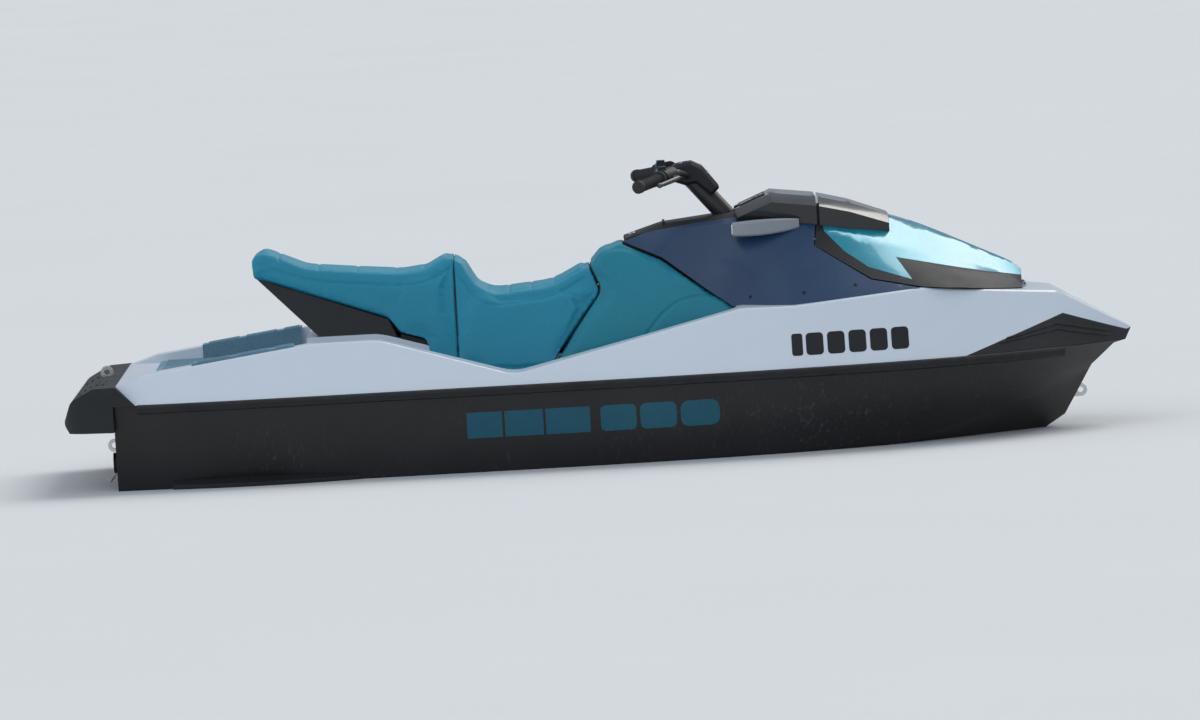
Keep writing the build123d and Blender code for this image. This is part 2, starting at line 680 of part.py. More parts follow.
with BuildPart() as hood_visor:
    for x, half, top in zip(VISOR_X, VISOR_HALF, VISOR_Z):
        with BuildSketch(Plane.YZ.offset(x)):
            half_outline([(half - 20, 600), (half, top - 26), (half - 60, top)])
    loft(ruled=True)
    add(upper_blank.part, mode=Mode.SUBTRACT)
hood_visor.part.label = "hood_visor"
export_step(hood_visor.part, "parts/hood_visor.step")

# Lid of the glovebox, hinged at its front edge
with BuildPart() as glovebox_lid:
    across([*LID_LINE, *[(x, z - LID_T + 1) for x, z in reversed(LID_LINE)]], half=LID_HALF)
    rod((LID_AXIS[0], -LID_HALF, LID_AXIS[1]), (LID_AXIS[0], LID_HALF, LID_AXIS[1]), LID_BARREL_R)
glovebox_lid.part.label = "glovebox_lid"
export_step(glovebox_lid.part, "parts/glovebox_lid.step")

# Seat: pan, the two cushions, the fixed nose pad and the black support under the overhang
with BuildPart() as seat_pan:
    across(
        [*deck_run(RUN_GAP, -612, SKIRT_X[1]), *reversed(deck_run(SEAT_PAN_T + RUN_GAP, -612, SKIRT_X[1]))],
        half=SEAT_PAN_HALF,
    )
seat_pan.part.label = "seat_pan"
export_step(seat_pan.part, "parts/seat_pan.step")

SEAT = [
    SEAT_REAR_LOW,
    *SEAT_TOP,
    *SEAT_SEAM,
    *reversed(deck_run(-SKIRT_DROP, *SKIRT_X)),
    *reversed(deck_run(SEAT_PAN_T + RUN_GAP, -612, SKIRT_X[0] - 20)),
    SUPPORT_TOP,
]
for name, x_from, x_to in (("seat_driver", SEAT_SPLIT_X, 100), ("seat_passenger", -1200, SEAT_SPLIT_X)):
    with BuildPart() as cushion:
        add(seat_blank.part)
        across(SEAT, Mode.INTERSECT)
        rim = [e for e in cushion.edges() if e.center().Z > 525 and abs(e.center().Y) > 60]
        fillet([e for e in rim if (e @ 0).Y * (e @ 1).Y > 0 and -1050 < e.center().X < -30], CUSHION_R)
        under_pan = deck_run(SEAT_PAN_T + RUN_GAP, -740, 100)
        across([(100, 100), (-740, 100), *under_pan], Mode.SUBTRACT, SKIRT_HALF)
        block((x_from, x_to), (-BEAM, BEAM), (0, 900), Mode.INTERSECT)
    cushion.part.label = name
    export_step(cushion.part, f"parts/{name}.step")

with BuildPart() as seat_nose:
    add(seat_blank.part)
    across(
        [
            (SEAT_SEAM[0][0] + NOSE_SEAM, SEAT_SEAM[0][1]),
            (SEAT_SEAM[1][0] + NOSE_SEAM, SEAT_SEAM[1][1], SEAT_SEAM[1][2]),
            (SKIRT_X[1] + NOSE_SEAM, deck_run(-SKIRT_DROP, SKIRT_X[1], 0)[0][1]),
            (FAIRING_FOOT_X, deck_run(-SKIRT_DROP, FAIRING_FOOT_X, 500)[0][1]),
            deck_run(0, FAIRING_FOOT_X, 500)[0],
            *reversed(SEAT_FRONT),
            SLATE_TIP,
            (20, 640),
        ],
        Mode.INTERSECT,
    )
    block((CONSOLE_REAR_X - SEAM, 700), (-CONSOLE_HALF - SEAM, CONSOLE_HALF + SEAM), (0, 900), Mode.SUBTRACT)
    add(deck.part, mode=Mode.SUBTRACT)
seat_nose.part.label = "seat_nose"
export_step(seat_nose.part, "parts/seat_nose.step")

with BuildPart() as seat_support:
    for x, low_half, high_half in SEAT_STATIONS:
        with BuildSketch(Plane.YZ.offset(x)):
            half_outline([(low_half - SUPPORT_INSET, BLANK_FOOT_Z), (high_half - SUPPORT_INSET, SEAT_HIGH_Z)])
    loft()
    across(
        [
            (SEAT_REAR_LOW[0] + 6, SEAT_REAR_LOW[1] - 3),
            (SUPPORT_TOP[0], SUPPORT_TOP[1] - 1),
            *reversed(deck_run(0, *SUPPORT_FOOT_X)),
        ],
        Mode.INTERSECT,
    )
seat_support.part.label = "seat_support"
export_step(seat_support.part, "parts/seat_support.step")

# Steering column, bar, grips and what they carry
BAR = [(x, -y, z) for x, y, z in reversed(BAR_HALF[1:])] + list(BAR_HALF[1:])


def grip_point(side, share):
    """A point on the bar's outer run; share 0 is its inner end and 1 its outer end."""
    inner, outer = BAR_HALF[2], BAR_HALF[3]
    x, y, z = [a + (b - a) * share for a, b in zip(inner, outer)]
    return (x, side * y, z)


with BuildPart() as handlebar:
    with BuildLine() as way:
        FilletPolyline(*BAR, radius=BAR_BEND_R)
    with BuildSketch(Plane(origin=way.wire() @ 0, z_dir=way.wire() % 0)):
        Circle(BAR_R)
    sweep()
handlebar.part.label = "handlebar"
export_step(handlebar.part, "parts/handlebar.step")

with BuildPart() as grips:
    for side in (-1, 1):
        rod(grip_point(side, GRIP_START), grip_point(side, 1.02), GRIP_R)
        rod(grip_point(side, GRIP_START), grip_point(side, GRIP_START + 0.03), GRIP_FLANGE_R)
        rod(grip_point(side, 0.97), grip_point(side, 1.03), GRIP_R + 3)
        rod(grip_point(side, GRIP_START), grip_point(side, 1.0), BAR_R, Mode.SUBTRACT)
grips.part.label = "grips"
export_step(grips.part, "parts/grips.step")

with BuildPart() as control_pods:
    for side in (-1, 1):
        rod(grip_point(side, 0.14), grip_point(side, 0.42), POD_R)
        x, y, z = grip_point(side, 0.28)
        block((x - POD_R, x), (y - 24, y + 24), (z - 6, z + POD_R + 6))
        rod(grip_point(side, 0.1), grip_point(side, 0.5), BAR_R, Mode.SUBTRACT)
control_pods.part.label = "control_pods"
export_step(control_pods.part, "parts/control_pods.step")

with BuildPart() as levers:
    for side in (-1, 1):
        x, y, z = grip_point(side, 0.3)
        fx, fy, fz = grip_point(side, 0.8)
        rod((x + 8, y, z), (x + 42, y + side * 8, z - 4), LEVER_R)
        rod((x + 40, y + side * 5, z - 4), (fx + 40, fy, fz - 6), LEVER_R)
    add(control_pods.part, mode=Mode.SUBTRACT)
    add(handlebar.part, mode=Mode.SUBTRACT)
levers.part.label = "levers"
export_step(levers.part, "parts/levers.step")

with BuildPart() as steering_column:
    rod(up_column(-COLUMN_DEPTH + RUN_GAP), up_column(COLUMN_LENGTH - COLUMN_DEPTH), COLUMN_R)
    add(handlebar.part, mode=Mode.SUBTRACT)
steering_column.part.label = "steering_column"
export_step(steering_column.part, "parts/steering_column.step")

with BuildPart() as handlebar_pad:
    across(PAD_SIDE, half=PAD_HALF)
    fillet(handlebar_pad.edges().filter_by(Axis.Y), PAD_R)
    chamfer(handlebar_pad.faces().sort_by(Axis.Y)[0].edges(), PAD_R)
    chamfer(handlebar_pad.faces().sort_by(Axis.Y)[-1].edges(), PAD_R)
    add(handlebar.part, mode=Mode.SUBTRACT)
    add(steering_column.part, mode=Mode.SUBTRACT)
handlebar_pad.part.label = "handlebar_pad"
export_step(handlebar_pad.part, "parts/handlebar_pad.step")

# Screen of the gauge on the pod's sloping face
slope = (POD_Z[1] - POD_Z[0]) / (POD_X[1] - POD_X[0])
screen_low = [(x, POD_Z[0] + slope * (x - POD_X[0])) for x in SCREEN_X]
with BuildPart() as gauge_display:
    screen_high = [(x - slope * SCREEN_T, z + SCREEN_T) for x, z in reversed(screen_low)]
    across([*screen_low, *screen_high], half=SCREEN_HALF)
gauge_display.part.label = "gauge_display"
export_step(gauge_display.part, "parts/gauge_display.step")

# Mirrors beside the gauge pod, with their glasses facing aft
with BuildPart() as mirror_blank:
    for x, inner, outer, low, high in MIRROR:
        with BuildSketch(Plane.YZ.offset(x)):
            with Locations(((inner + outer) / 2, (low + high) / 2)):
                RectangleRounded(outer - inner, high - low, 9)
    loft()
with BuildPart() as mirrors:
    add(mirror_blank.part)
    mirror(mirror_blank.part, about=Plane.XZ)
    add(gauge_pod.part, mode=Mode.SUBTRACT)
    add(side_fairings.part, mode=Mode.SUBTRACT)
mirrors.part.label = "mirrors"
export_step(mirrors.part, "parts/mirrors.step")

x, inner, outer, low, high = MIRROR[0]
with BuildPart() as mirror_glasses:
    with BuildSketch(Plane.YZ.offset(x - GLASS_T)):
        for side in (-1, 1):
            with Locations((side * (inner + outer) / 2, (low + high) / 2)):
                RectangleRounded(outer - inner - 2 * GLASS_INSET, high - low - 2 * GLASS_INSET, 6)
    extrude(amount=GLASS_T)
mirror_glasses.part.label = "mirror_glasses"
export_step(mirror_glasses.part, "parts/mirror_glasses.step")

# Jet drive
with BuildPart() as ride_plate:
    block(PLATE_X, (-TUNNEL_HALF + PLATE_GAP, TUNNEL_HALF - PLATE_GAP), PLATE_Z)
    fillet(ride_plate.edges().filter_by(Axis.Z).group_by(Axis.X)[0], PLATE_CORNER_R)
    chamfer(ride_plate.faces().sort_by(Axis.Z)[0].edges().sort_by(Axis.X)[-1], PLATE_RIB_H)
    for side in (-1, 1):
        for share in (0.3, 0.7):
            y = side * share * TUNNEL_HALF
            block((PLATE_X[0] + 20, PLATE_X[1] - 20), (y - 4, y + 4), (PLATE_Z[0] - PLATE_RIB_H, PLATE_Z[0]))
ride_plate.part.label = "ride_plate"
export_step(ride_plate.part, "parts/ride_plate.step")

with BuildPart() as intake_grate:
    for i in range(GRATE_BARS):
        y = -GRATE_HALF + i * 2 * GRATE_HALF / (GRATE_BARS - 1)
        block(GRATE_X, (y - 3, y + 3), (-242, -222))
    for x in GRATE_X:
        block((x - 6, x + 6), (-GRATE_HALF - 3, GRATE_HALF + 3), (-236, -222))
    add(hull.part, mode=Mode.SUBTRACT)
intake_grate.part.label = "intake_grate"
export_step(intake_grate.part, "parts/intake_grate.step")

with BuildPart() as pump_blank:
    with BuildSketch(Plane.XZ):
        with BuildLine():
            Polyline(
                (RING_X[0], RING_R),
                (RING_X[0], RING_R + RING_WALL + RING_FLANGE),
                (RING_X[0] - FLANGE_T, RING_R + RING_WALL + RING_FLANGE),
                (RING_X[0] - FLANGE_T, RING_R + RING_WALL),
                (STATOR_END_X, RING_R + RING_WALL),
                (VENTURI_NECK_X, VENTURI_R + VENTURI_WALL + 2),
                (VENTURI_END_X, VENTURI_R + VENTURI_WALL),
                (VENTURI_END_X, VENTURI_R),
                (VENTURI_NECK_X, VENTURI_R + 2),
                (STATOR_END_X, RING_R),
                close=True,
            )
        make_face()
    revolve(axis=Axis.X)
    with BuildSketch(Plane.XZ):
        with BuildLine():
            Polyline(
                (RING_X[1], 0),
                (RING_X[1], HUB_R),
                (STATOR_END_X + 10, HUB_R),
                (CONE_END_X, 4),
                (CONE_END_X, 0),
                close=True,
            )
        make_face()
    revolve(axis=Axis.X)
    with BuildSketch(Plane.YZ.offset(RING_X[1])) as vane:
        with PolarLocations((RING_R + HUB_R) / 2, VANES):
            Rectangle(RING_R - HUB_R + 8, BLADE_T)
    extrude(vane.sketch, amount=STATOR_END_X - RING_X[1])
with BuildPart() as pump_housing:
    add(pump_blank.part.moved(Location((0, 0, PUMP_Z))))
    rod((RING_X[1] + 10, 0, PUMP_Z), (SHAFT_X[0] - RUN_GAP, 0, PUMP_Z), SHAFT_R + RUN_GAP, Mode.SUBTRACT)
    for side in (-1, 1):
        low = min(side * LUG_Z[0], side * LUG_Z[1]) + PUMP_Z
        lug = (NOZZLE_PIVOT_X - LUG_HALF, STATOR_END_X + 4)
        block(lug, (-LUG_HALF, LUG_HALF), (low, low + LUG_Z[1] - LUG_Z[0]))
        boss = (GATE_PIVOT_X, side * (RING_R - 1), PUMP_Z)
        rod(boss, (GATE_PIVOT_X, side * (GATE_ARM_Y[1] + 3), PUMP_Z), GATE_PIN_R)
    pin_foot = (NOZZLE_PIVOT_X, 0, PUMP_Z - PIVOT_REACH)
    rod(pin_foot, (NOZZLE_PIVOT_X, 0, PUMP_Z + PIVOT_REACH), PIVOT_PIN_R + RUN_GAP, Mode.SUBTRACT)
pump_housing.part.label = "pump_housing"
export_step(pump_housing.part, "parts/pump_housing.step")

with BuildPart() as impeller:
    rod((IMPELLER_X[0], 0, PUMP_Z), (IMPELLER_X[1], 0, PUMP_Z), HUB_R)
    for i in range(BLADES):
        turn = 360 / BLADES * i
        outward = Vector(0, cos(radians(turn)), sin(radians(turn)))
        sideways = Vector(0, -sin(radians(turn)), cos(radians(turn)))
        middle = (IMPELLER_X[0] + IMPELLER_X[1]) / 2
        for radius, length, lead in ((HUB_R - 6, 52, 48.7), (BLADE_R + 8, 96, 25.0)):
            chord = Vector(1, 0, 0) * sin(radians(lead)) + sideways * cos(radians(lead))
            root = Vector(middle, 0, PUMP_Z) + outward * radius
            with BuildSketch(Plane(origin=root, x_dir=chord, z_dir=outward)):
                Rectangle(length, BLADE_T)
        loft()
    with BuildSketch(Plane.YZ.offset(IMPELLER_X[0])) as cage:
        with Locations((0, PUMP_Z)):
            Circle(BLADE_R)
    extrude(cage.sketch, amount=IMPELLER_X[1] - IMPELLER_X[0], mode=Mode.INTERSECT)
    rod((IMPELLER_X[0] - 5, 0, PUMP_Z), (IMPELLER_X[1] + 5, 0, PUMP_Z), SHAFT_R, Mode.SUBTRACT)
impeller.part.label = "impeller"
export_step(impeller.part, "parts/impeller.step")

with BuildPart() as drive_shaft:
    rod((SHAFT_X[0], 0, PUMP_Z), (SHAFT_X[1], 0, PUMP_Z), SHAFT_R)
drive_shaft.part.label = "drive_shaft"
export_step(drive_shaft.part, "parts/drive_shaft.step")

with BuildPart() as nozzle_blank:
    with BuildSketch(Plane.XZ):
        with BuildLine():
            Polyline(
                (NOZZLE_X[0], NOZZLE_R - NOZZLE_WALL),
                (NOZZLE_X[0], NOZZLE_R),
                (NOZZLE_PIVOT_X - 22, NOZZLE_R),
                (NOZZLE_X[1], NOZZLE_EXIT_R + NOZZLE_WALL),
                (NOZZLE_X[1], NOZZLE_EXIT_R),
                (NOZZLE_PIVOT_X - 22, NOZZLE_R - NOZZLE_WALL),
                close=True,
            )
        make_face()
    revolve(axis=Axis.X)
with BuildPart() as steering_nozzle:
    add(nozzle_blank.part.moved(Location((0, 0, PUMP_Z))))
    for side in (-1, 1):
        foot = (NOZZLE_PIVOT_X, 0, PUMP_Z + side * (NOZZLE_R - 3))
        rod(foot, (NOZZLE_PIVOT_X, 0, PUMP_Z + side * PIVOT_REACH), PIVOT_PIN_R)
steering_nozzle.part.label = "steering_nozzle"
export_step(steering_nozzle.part, "parts/steering_nozzle.step")


def gate_point(radius, angle):
    """A point in side view at a distance from the reverse gate's pivot, angle above straight aft."""
    return (GATE_PIVOT_X - radius * cos(radians(angle)), PUMP_Z + radius * sin(radians(angle)))


GATE_MIDDLE = sum(GATE_ANGLES) / 2
gate_angles = (GATE_ANGLES[0], GATE_MIDDLE, GATE_ANGLES[1])
gate_inner = [gate_point(GATE_R, angle) for angle in gate_angles]
gate_outer = [gate_point(GATE_R + GATE_T, angle) for angle in reversed(gate_angles)]
gate_arm = [gate_point(18, angle) for angle in (-90, 180, 110)]
gate_arm += [gate_point(GATE_R + 2, angle) for angle in reversed(gate_angles)]
with BuildPart() as reverse_gate:
    with BuildSketch(Plane.XZ):
        with BuildLine():
            ThreePointArc(*gate_inner)
            Line(gate_inner[2], gate_outer[0])
            ThreePointArc(*gate_outer)
            Line(gate_outer[2], gate_inner[0])
        make_face()
    extrude(amount=GATE_ARM_Y[1], both=True)
    for side in (-1, 1):
        low_y = min(side * GATE_ARM_Y[0], side * GATE_ARM_Y[1])
        across_port(gate_arm, low_y, low_y + GATE_ARM_Y[1] - GATE_ARM_Y[0])
    x, reach = GATE_PIVOT_X, GATE_ARM_Y[1] + 5
    rod((x, -reach, PUMP_Z), (x, reach, PUMP_Z), GATE_PIN_R + RUN_GAP, Mode.SUBTRACT)
reverse_gate.part.label = "reverse_gate"
export_step(reverse_gate.part, "parts/reverse_gate.step")

# Engine, exhaust, sponsons
with BuildPart() as engine_block:
    with Locations((ENGINE_X, 0, ENGINE_Z)):
        Box(*ENGINE)
engine_block.part.label = "engine_block"
export_step(engine_block.part, "parts/engine_block.step")

with BuildPart() as exhaust_outlet:
    x, y, z = EXHAUST
    rod((x, y, z), (x - EXHAUST_REACH, y, z), EXHAUST_R)
    rod((x - 4, y, z), (x - EXHAUST_REACH - 8, y, z), EXHAUST_R - 7, Mode.SUBTRACT)
exhaust_outlet.part.label = "exhaust_outlet"
export_step(exhaust_outlet.part, "parts/exhaust_outlet.step")

with BuildPart() as sponson_blank:
    for x, inner, outer in SPONSON:
        with BuildSketch(Plane.YZ.offset(x)):
            with BuildLine():
                Polyline((inner, -28), (outer, -40), (outer + 6, 12), (inner, 44), close=True)
            make_face()
    loft()
with BuildPart() as sponsons:
    add(sponson_blank.part)
    mirror(sponson_blank.part, about=Plane.XZ)
    add(hull_blank.part, mode=Mode.SUBTRACT)
sponsons.part.label = "sponsons"
export_step(sponsons.part, "parts/sponsons.step")

# Drain plugs on the transom and the fuel filler's cap under the hood's front
with BuildPart() as drain_plugs:
    for side in (-1, 1):
        x, y, z = TRANSOM_X, side * DRAIN[0], DRAIN[1]
        rod((x, y, z), (x - 6, y, z), DRAIN_R)
        rod((x - 6, y, z), (x - 12, y, z), DRAIN_R * 0.55)
drain_plugs.part.label = "drain_plugs"
export_step(drain_plugs.part, "parts/drain_plugs.step")

with BuildPart() as fuel_cap:
    rod((FUEL_X, 0, HOOD_WELL_Z), (FUEL_X, 0, HOOD_WELL_Z + 14), FUEL_R + 8)
    rod((FUEL_X, 0, HOOD_WELL_Z + 14), (FUEL_X, 0, HOOD_WELL_Z + 36), FUEL_R)
fuel_cap.part.label = "fuel_cap"
export_step(fuel_cap.part, "parts/fuel_cap.step")

with BuildPart() as tie_eyes:
    for x, y, z in EYES:
        rod((x, y - EYE_T / 2, z), (x, y + EYE_T / 2, z), EYE_R)
    block((BOW_EYE[0] - 30, BOW_EYE[0]), (-EYE_T / 2, EYE_T / 2), (BOW_EYE[2] - EYE_R, BOW_EYE[2] + EYE_R))
    for x, y, z in EYES:
        rod((x, y - EYE_T, z), (x, y + EYE_T, z), EYE_HOLE_R, Mode.SUBTRACT)
    across([(TRANSOM_X, -400), *STEM, (TRANSOM_X, BOND_Z)], Mode.SUBTRACT)
    add(stern_bumper.part, mode=Mode.SUBTRACT)
tie_eyes.part.label = "tie_eyes"
export_step(tie_eyes.part, "parts/tie_eyes.step")
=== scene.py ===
"""Looks of a sit-down personal watercraft afloat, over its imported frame.

Metres, +X to the bow, +Y to port, +Z up.
"""

import json
from math import cos, pi, radians, sin

import bmesh
import bpy
from mathutils import Matrix, Vector
from mathutils.bvhtree import BVHTree
from mathutils.kdtree import KDTree

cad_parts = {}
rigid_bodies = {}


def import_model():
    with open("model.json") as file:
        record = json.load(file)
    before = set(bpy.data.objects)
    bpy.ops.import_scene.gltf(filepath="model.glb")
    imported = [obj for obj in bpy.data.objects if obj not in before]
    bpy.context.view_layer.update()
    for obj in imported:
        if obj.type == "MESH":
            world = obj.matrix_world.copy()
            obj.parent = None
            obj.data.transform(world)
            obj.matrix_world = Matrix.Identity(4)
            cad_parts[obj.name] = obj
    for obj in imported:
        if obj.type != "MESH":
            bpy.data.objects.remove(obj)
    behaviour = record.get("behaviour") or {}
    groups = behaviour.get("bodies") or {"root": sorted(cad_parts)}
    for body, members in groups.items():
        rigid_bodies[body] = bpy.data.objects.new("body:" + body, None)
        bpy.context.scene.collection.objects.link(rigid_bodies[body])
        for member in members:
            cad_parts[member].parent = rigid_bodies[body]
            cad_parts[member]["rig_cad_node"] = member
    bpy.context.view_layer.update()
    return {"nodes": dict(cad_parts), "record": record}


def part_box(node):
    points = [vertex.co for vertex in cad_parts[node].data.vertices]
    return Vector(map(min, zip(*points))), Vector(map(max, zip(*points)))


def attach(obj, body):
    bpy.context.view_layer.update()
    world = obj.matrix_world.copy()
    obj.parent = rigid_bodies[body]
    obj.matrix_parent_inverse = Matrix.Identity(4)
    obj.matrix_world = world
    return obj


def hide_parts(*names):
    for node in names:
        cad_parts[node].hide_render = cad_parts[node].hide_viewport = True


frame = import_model()
nodes = frame["nodes"]
scene = bpy.context.scene

# Camera
VIEW_DISTANCE = 30.0
VIEW_ELEVATION = radians(3.8)
VIEW_ROLL = radians(3.24)  # the craft lies bow up in the picture
VIEW_WIDTH = 3.75  # width of the picture where the craft is
VIEW_TARGET = Vector((0.0, 0.0, 0.287))
VIEW_END = 200.0
SENSOR_WIDTH = 36.0


def make_camera():
    data = bpy.data.cameras.new("camera")
    camera = bpy.data.objects.new("camera", data)
    scene.collection.objects.link(camera)
    back = Vector((0, -cos(VIEW_ELEVATION), sin(VIEW_ELEVATION)))
    camera.location = VIEW_TARGET + back * VIEW_DISTANCE
    camera.rotation_mode = "QUATERNION"
    roll = Matrix.Rotation(-VIEW_ROLL, 4, "Z").to_quaternion()
    camera.rotation_quaternion = (-back).to_track_quat("-Z", "Y") @ roll
    data.sensor_width = SENSOR_WIDTH
    data.lens = SENSOR_WIDTH * VIEW_DISTANCE / VIEW_WIDTH
    data.clip_end = VIEW_END
    scene.camera = camera


# Node trees
NOISE_ROUGHNESS = 0.55


def node(tree, kind, inputs=None, **settings):
    """A shader node with its settings and inputs; an input that is a socket is linked."""
    made = tree.nodes.new("ShaderNode" + kind)
    for key, value in settings.items():
        setattr(made, key, value)
    for key, value in (inputs or {}).items():
        if isinstance(value, bpy.types.NodeSocket):
            tree.links.new(value, made.inputs[key])
        else:
            made.inputs[key].default_value = value
    return made


def place(tree):
    return node(tree, "TexCoord").outputs["Object"]


def spaced(tree, size, stretch=(1, 1, 1)):
    """The place on the object, counted in steps of size metres."""
    scale = [s / size for s in stretch]
    return node(tree, "Mapping", {"Vector": place(tree), "Scale": scale}).outputs[0]


def noise(tree, size, detail=3.0, stretch=(1, 1, 1)):
    """Noise from 0 to 1 whose blobs are about size metres."""
    inputs = {"Vector": spaced(tree, size, stretch), "Scale": 1.0, "Detail": detail}
    return node(tree, "TexNoise", {**inputs, "Roughness": NOISE_ROUGHNESS}).outputs["Fac"]


def cells(tree, size, feature="F1"):
    """Distance in a pattern of cells about size metres across."""
    inputs = {"Vector": spaced(tree, size), "Scale": 1.0}
    return node(tree, "TexVoronoi", inputs, feature=feature).outputs["Distance"]


def ramp(tree, value, low, high, out=(0.0, 1.0)):
    """Turns low to high into the two values of out, and holds them beyond."""
    inputs = {"Value": value, "From Min": low, "From Max": high, "To Min": out[0], "To Max": out[1]}
    return node(tree, "MapRange", inputs, clamp=True).outputs["Result"]


def math(tree, kind, a, b=0.0):
    return node(tree, "Math", {0: a, 1: b}, operation=kind).outputs[0]


def times(tree, a, b):
    return math(tree, "MULTIPLY", a, b)


def blend(tree, share, a, b):
    """Colour a turned into colour b by share. The inputs go by number, as their names repeat."""
    made = tree.nodes.new("ShaderNodeMix")
    made.data_type = "RGBA"
    for index, value in ((0, share), (6, a), (7, b)):
        if isinstance(value, bpy.types.NodeSocket):
            tree.links.new(value, made.inputs[index])
        else:
            made.inputs[index].default_value = (*value, 1) if index else value
    return made.outputs[2]


def axis_value(tree, axis):
    return node(tree, "SeparateXYZ", {0: place(tree)}).outputs["XYZ".index(axis)]


def shade(color, factor):
    return tuple(min(1, c * factor) for c in color)


# Finishes
WEAR_RADIUS = 0.0035
SPECK_SIZE = 0.0012
GLOSS_SIZE = 0.09
COAT_ROUGH = 0.06
SALT = (0.20, 0.205, 0.21)


def edge_wear(tree, radius):
    """Near 1 along the sharp edges, broken up by noise."""
    bevel = node(tree, "Bevel", {"Radius": radius}, samples=4)
    normal = node(tree, "NewGeometry").outputs["Normal"]
    turn = node(tree, "VectorMath", {0: bevel.outputs[0], 1: normal}, operation="DOT_PRODUCT")
    edge = ramp(tree, math(tree, "SUBTRACT", 1.0, turn.outputs["Value"]), 0.02, 0.12)
    return times(tree, edge, ramp(tree, noise(tree, 0.03, 4), 0.42, 0.62))


def spray_film(tree, share):
    """How much salt of dried spray lies on a place: spots in drifts, more of them towards the waterline."""
    low = ramp(tree, axis_value(tree, "Z"), 0.02, 0.30, (1.0, 0.12))
    spots = ramp(tree, noise(tree, 0.012, 6, stretch=(1, 1, 0.5)), 0.56, 0.8)
    drifts = ramp(tree, noise(tree, 0.5, 3), 0.4, 0.7)
    return times(tree, times(tree, low, spots), times(tree, drifts, share))


def relief(tree, heights):
    """The normal that rows of height and depth in metres give, one on the other."""
    normal = None
    for value, depth in heights:
        bump = node(tree, "Bump", {"Height": value, "Distance": depth, "Strength": 1.0})
        if normal:
            tree.links.new(normal, bump.inputs["Normal"])
        normal = bump.outputs[0]
    return normal


def material(
    name, color, rough, metal=0.0, coat=0.0, sheen=0.0, specular=0.5, mottle=0.10, mottle_size=0.22,
    speck=0.0, rough_vary=0.10, grain=0.0, grain_size=0.001, wave=0.0, wave_size=0.06, wear=0.0,
    wear_color=(0.3, 0.3, 0.3), film=0.0, pattern=None,
):
    """A procedural finish.

    mottle and speck vary the colour, rough_vary the gloss, grain and wave the relief in metres. wear pales
    the edges, and film is the dried spray towards the waterline.
    """
    made = bpy.data.materials.new(name)
    made.use_nodes = True
    tree = made.node_tree
    shader = tree.nodes["Principled BSDF"]
    cloud = ramp(tree, noise(tree, mottle_size, 5), 0.3, 0.7)
    tint = blend(tree, cloud, shade(color, 1 - mottle), shade(color, 1 + mottle))
    heights = []
    if wave:
        heights.append((noise(tree, wave_size, 2), wave))
    if grain:
        heights.append((noise(tree, grain_size, 3), grain))
    if pattern:
        tint, height = pattern(tree, tint, color)
        heights.append(height)
    if speck:
        fleck = ramp(tree, noise(tree, SPECK_SIZE, 2), 0.35, 0.65)
        tint = blend(tree, times(tree, fleck, speck), tint, shade(color, 2.2))
    gloss_span = (rough * (1 - rough_vary), min(1, rough * (1 + rough_vary) + 0.02))
    gloss = ramp(tree, noise(tree, GLOSS_SIZE, 6), 0.3, 0.75, gloss_span)
    if film:
        salt = spray_film(tree, film)
        tint = blend(tree, salt, tint, SALT)
        gloss = math(tree, "ADD", gloss, times(tree, salt, 0.5))
    if wear:
        worn = times(tree, edge_wear(tree, WEAR_RADIUS), wear)
        tint = blend(tree, worn, tint, wear_color)
        gloss = math(tree, "ADD", gloss, times(tree, worn, 0.15))
    tree.links.new(tint, shader.inputs["Base Color"])
    tree.links.new(gloss, shader.inputs["Roughness"])
    shader.inputs["Metallic"].default_value = metal
    shader.inputs["Coat Weight"].default_value = coat
    shader.inputs["Coat Roughness"].default_value = COAT_ROUGH
    shader.inputs["Sheen Weight"].default_value = sheen
    shader.inputs["Specular IOR Level"].default_value = specular
    if heights:
        tree.links.new(relief(tree, heights), shader.inputs["Normal"])
    return made


# Patterns: each returns the colour and (height, depth in metres)
def mat_pattern(tree, tint, color):
    """Closed-cell foam: fine pores, and paler where feet have rubbed it."""
    pores = ramp(tree, cells(tree, 0.0035), 0.15, 0.55)
    rubbed = times(tree, ramp(tree, noise(tree, 0.16, 4), 0.45, 0.7), 0.35)
    tint = blend(tree, rubbed, tint, shade(color, 1.5))
    return blend(tree, pores, shade(color, 0.6), tint), (pores, 0.0005)


def grip_pattern(tree, tint, color):
    """Rubber that hands have rubbed in patches."""
    rubbed = ramp(tree, noise(tree, 0.01, 2), 0.4, 0.6)
    return blend(tree, rubbed, tint, shade(color, 1.4)), (noise(tree, 0.0015, 2), 0.0003)


def brushed_pattern(tree, tint, color):
    """Fine lines of brushed metal."""
    lines = noise(tree, 0.0012, 3, stretch=(0.04, 1, 1))
    return blend(tree, lines, shade(color, 0.82), tint), (lines, 0.0001)


def cast_pattern(tree, tint, color):
    """Cast metal: pitted, with darker stains."""
    pits = ramp(tree, noise(tree, 0.0035, 4), 0.35, 0.6)
    stain = ramp(tree, noise(tree, 0.05, 5), 0.5, 0.75)
    return blend(tree, times(tree, stain, 0.5), tint, shade(color, 0.55)), (pits, 0.0004)


def flake_pattern(tree, tint, color):
    """Metallic paint: bright flakes under the clear coat."""
    way = node(tree, "Mapping", {"Vector": place(tree), "Scale": (900, 900, 900)})
    flake = node(tree, "TexVoronoi", {"Vector": way.outputs[0], "Scale": 1.0})
    chance = node(tree, "SeparateColor", {0: flake.outputs["Color"]}).outputs[0]
    bright = ramp(tree, chance, 0.6, 1.0, (0.0, 0.35))
    return blend(tree, bright, tint, shade(color, 2.6)), (flake.outputs["Distance"], 0.00003)


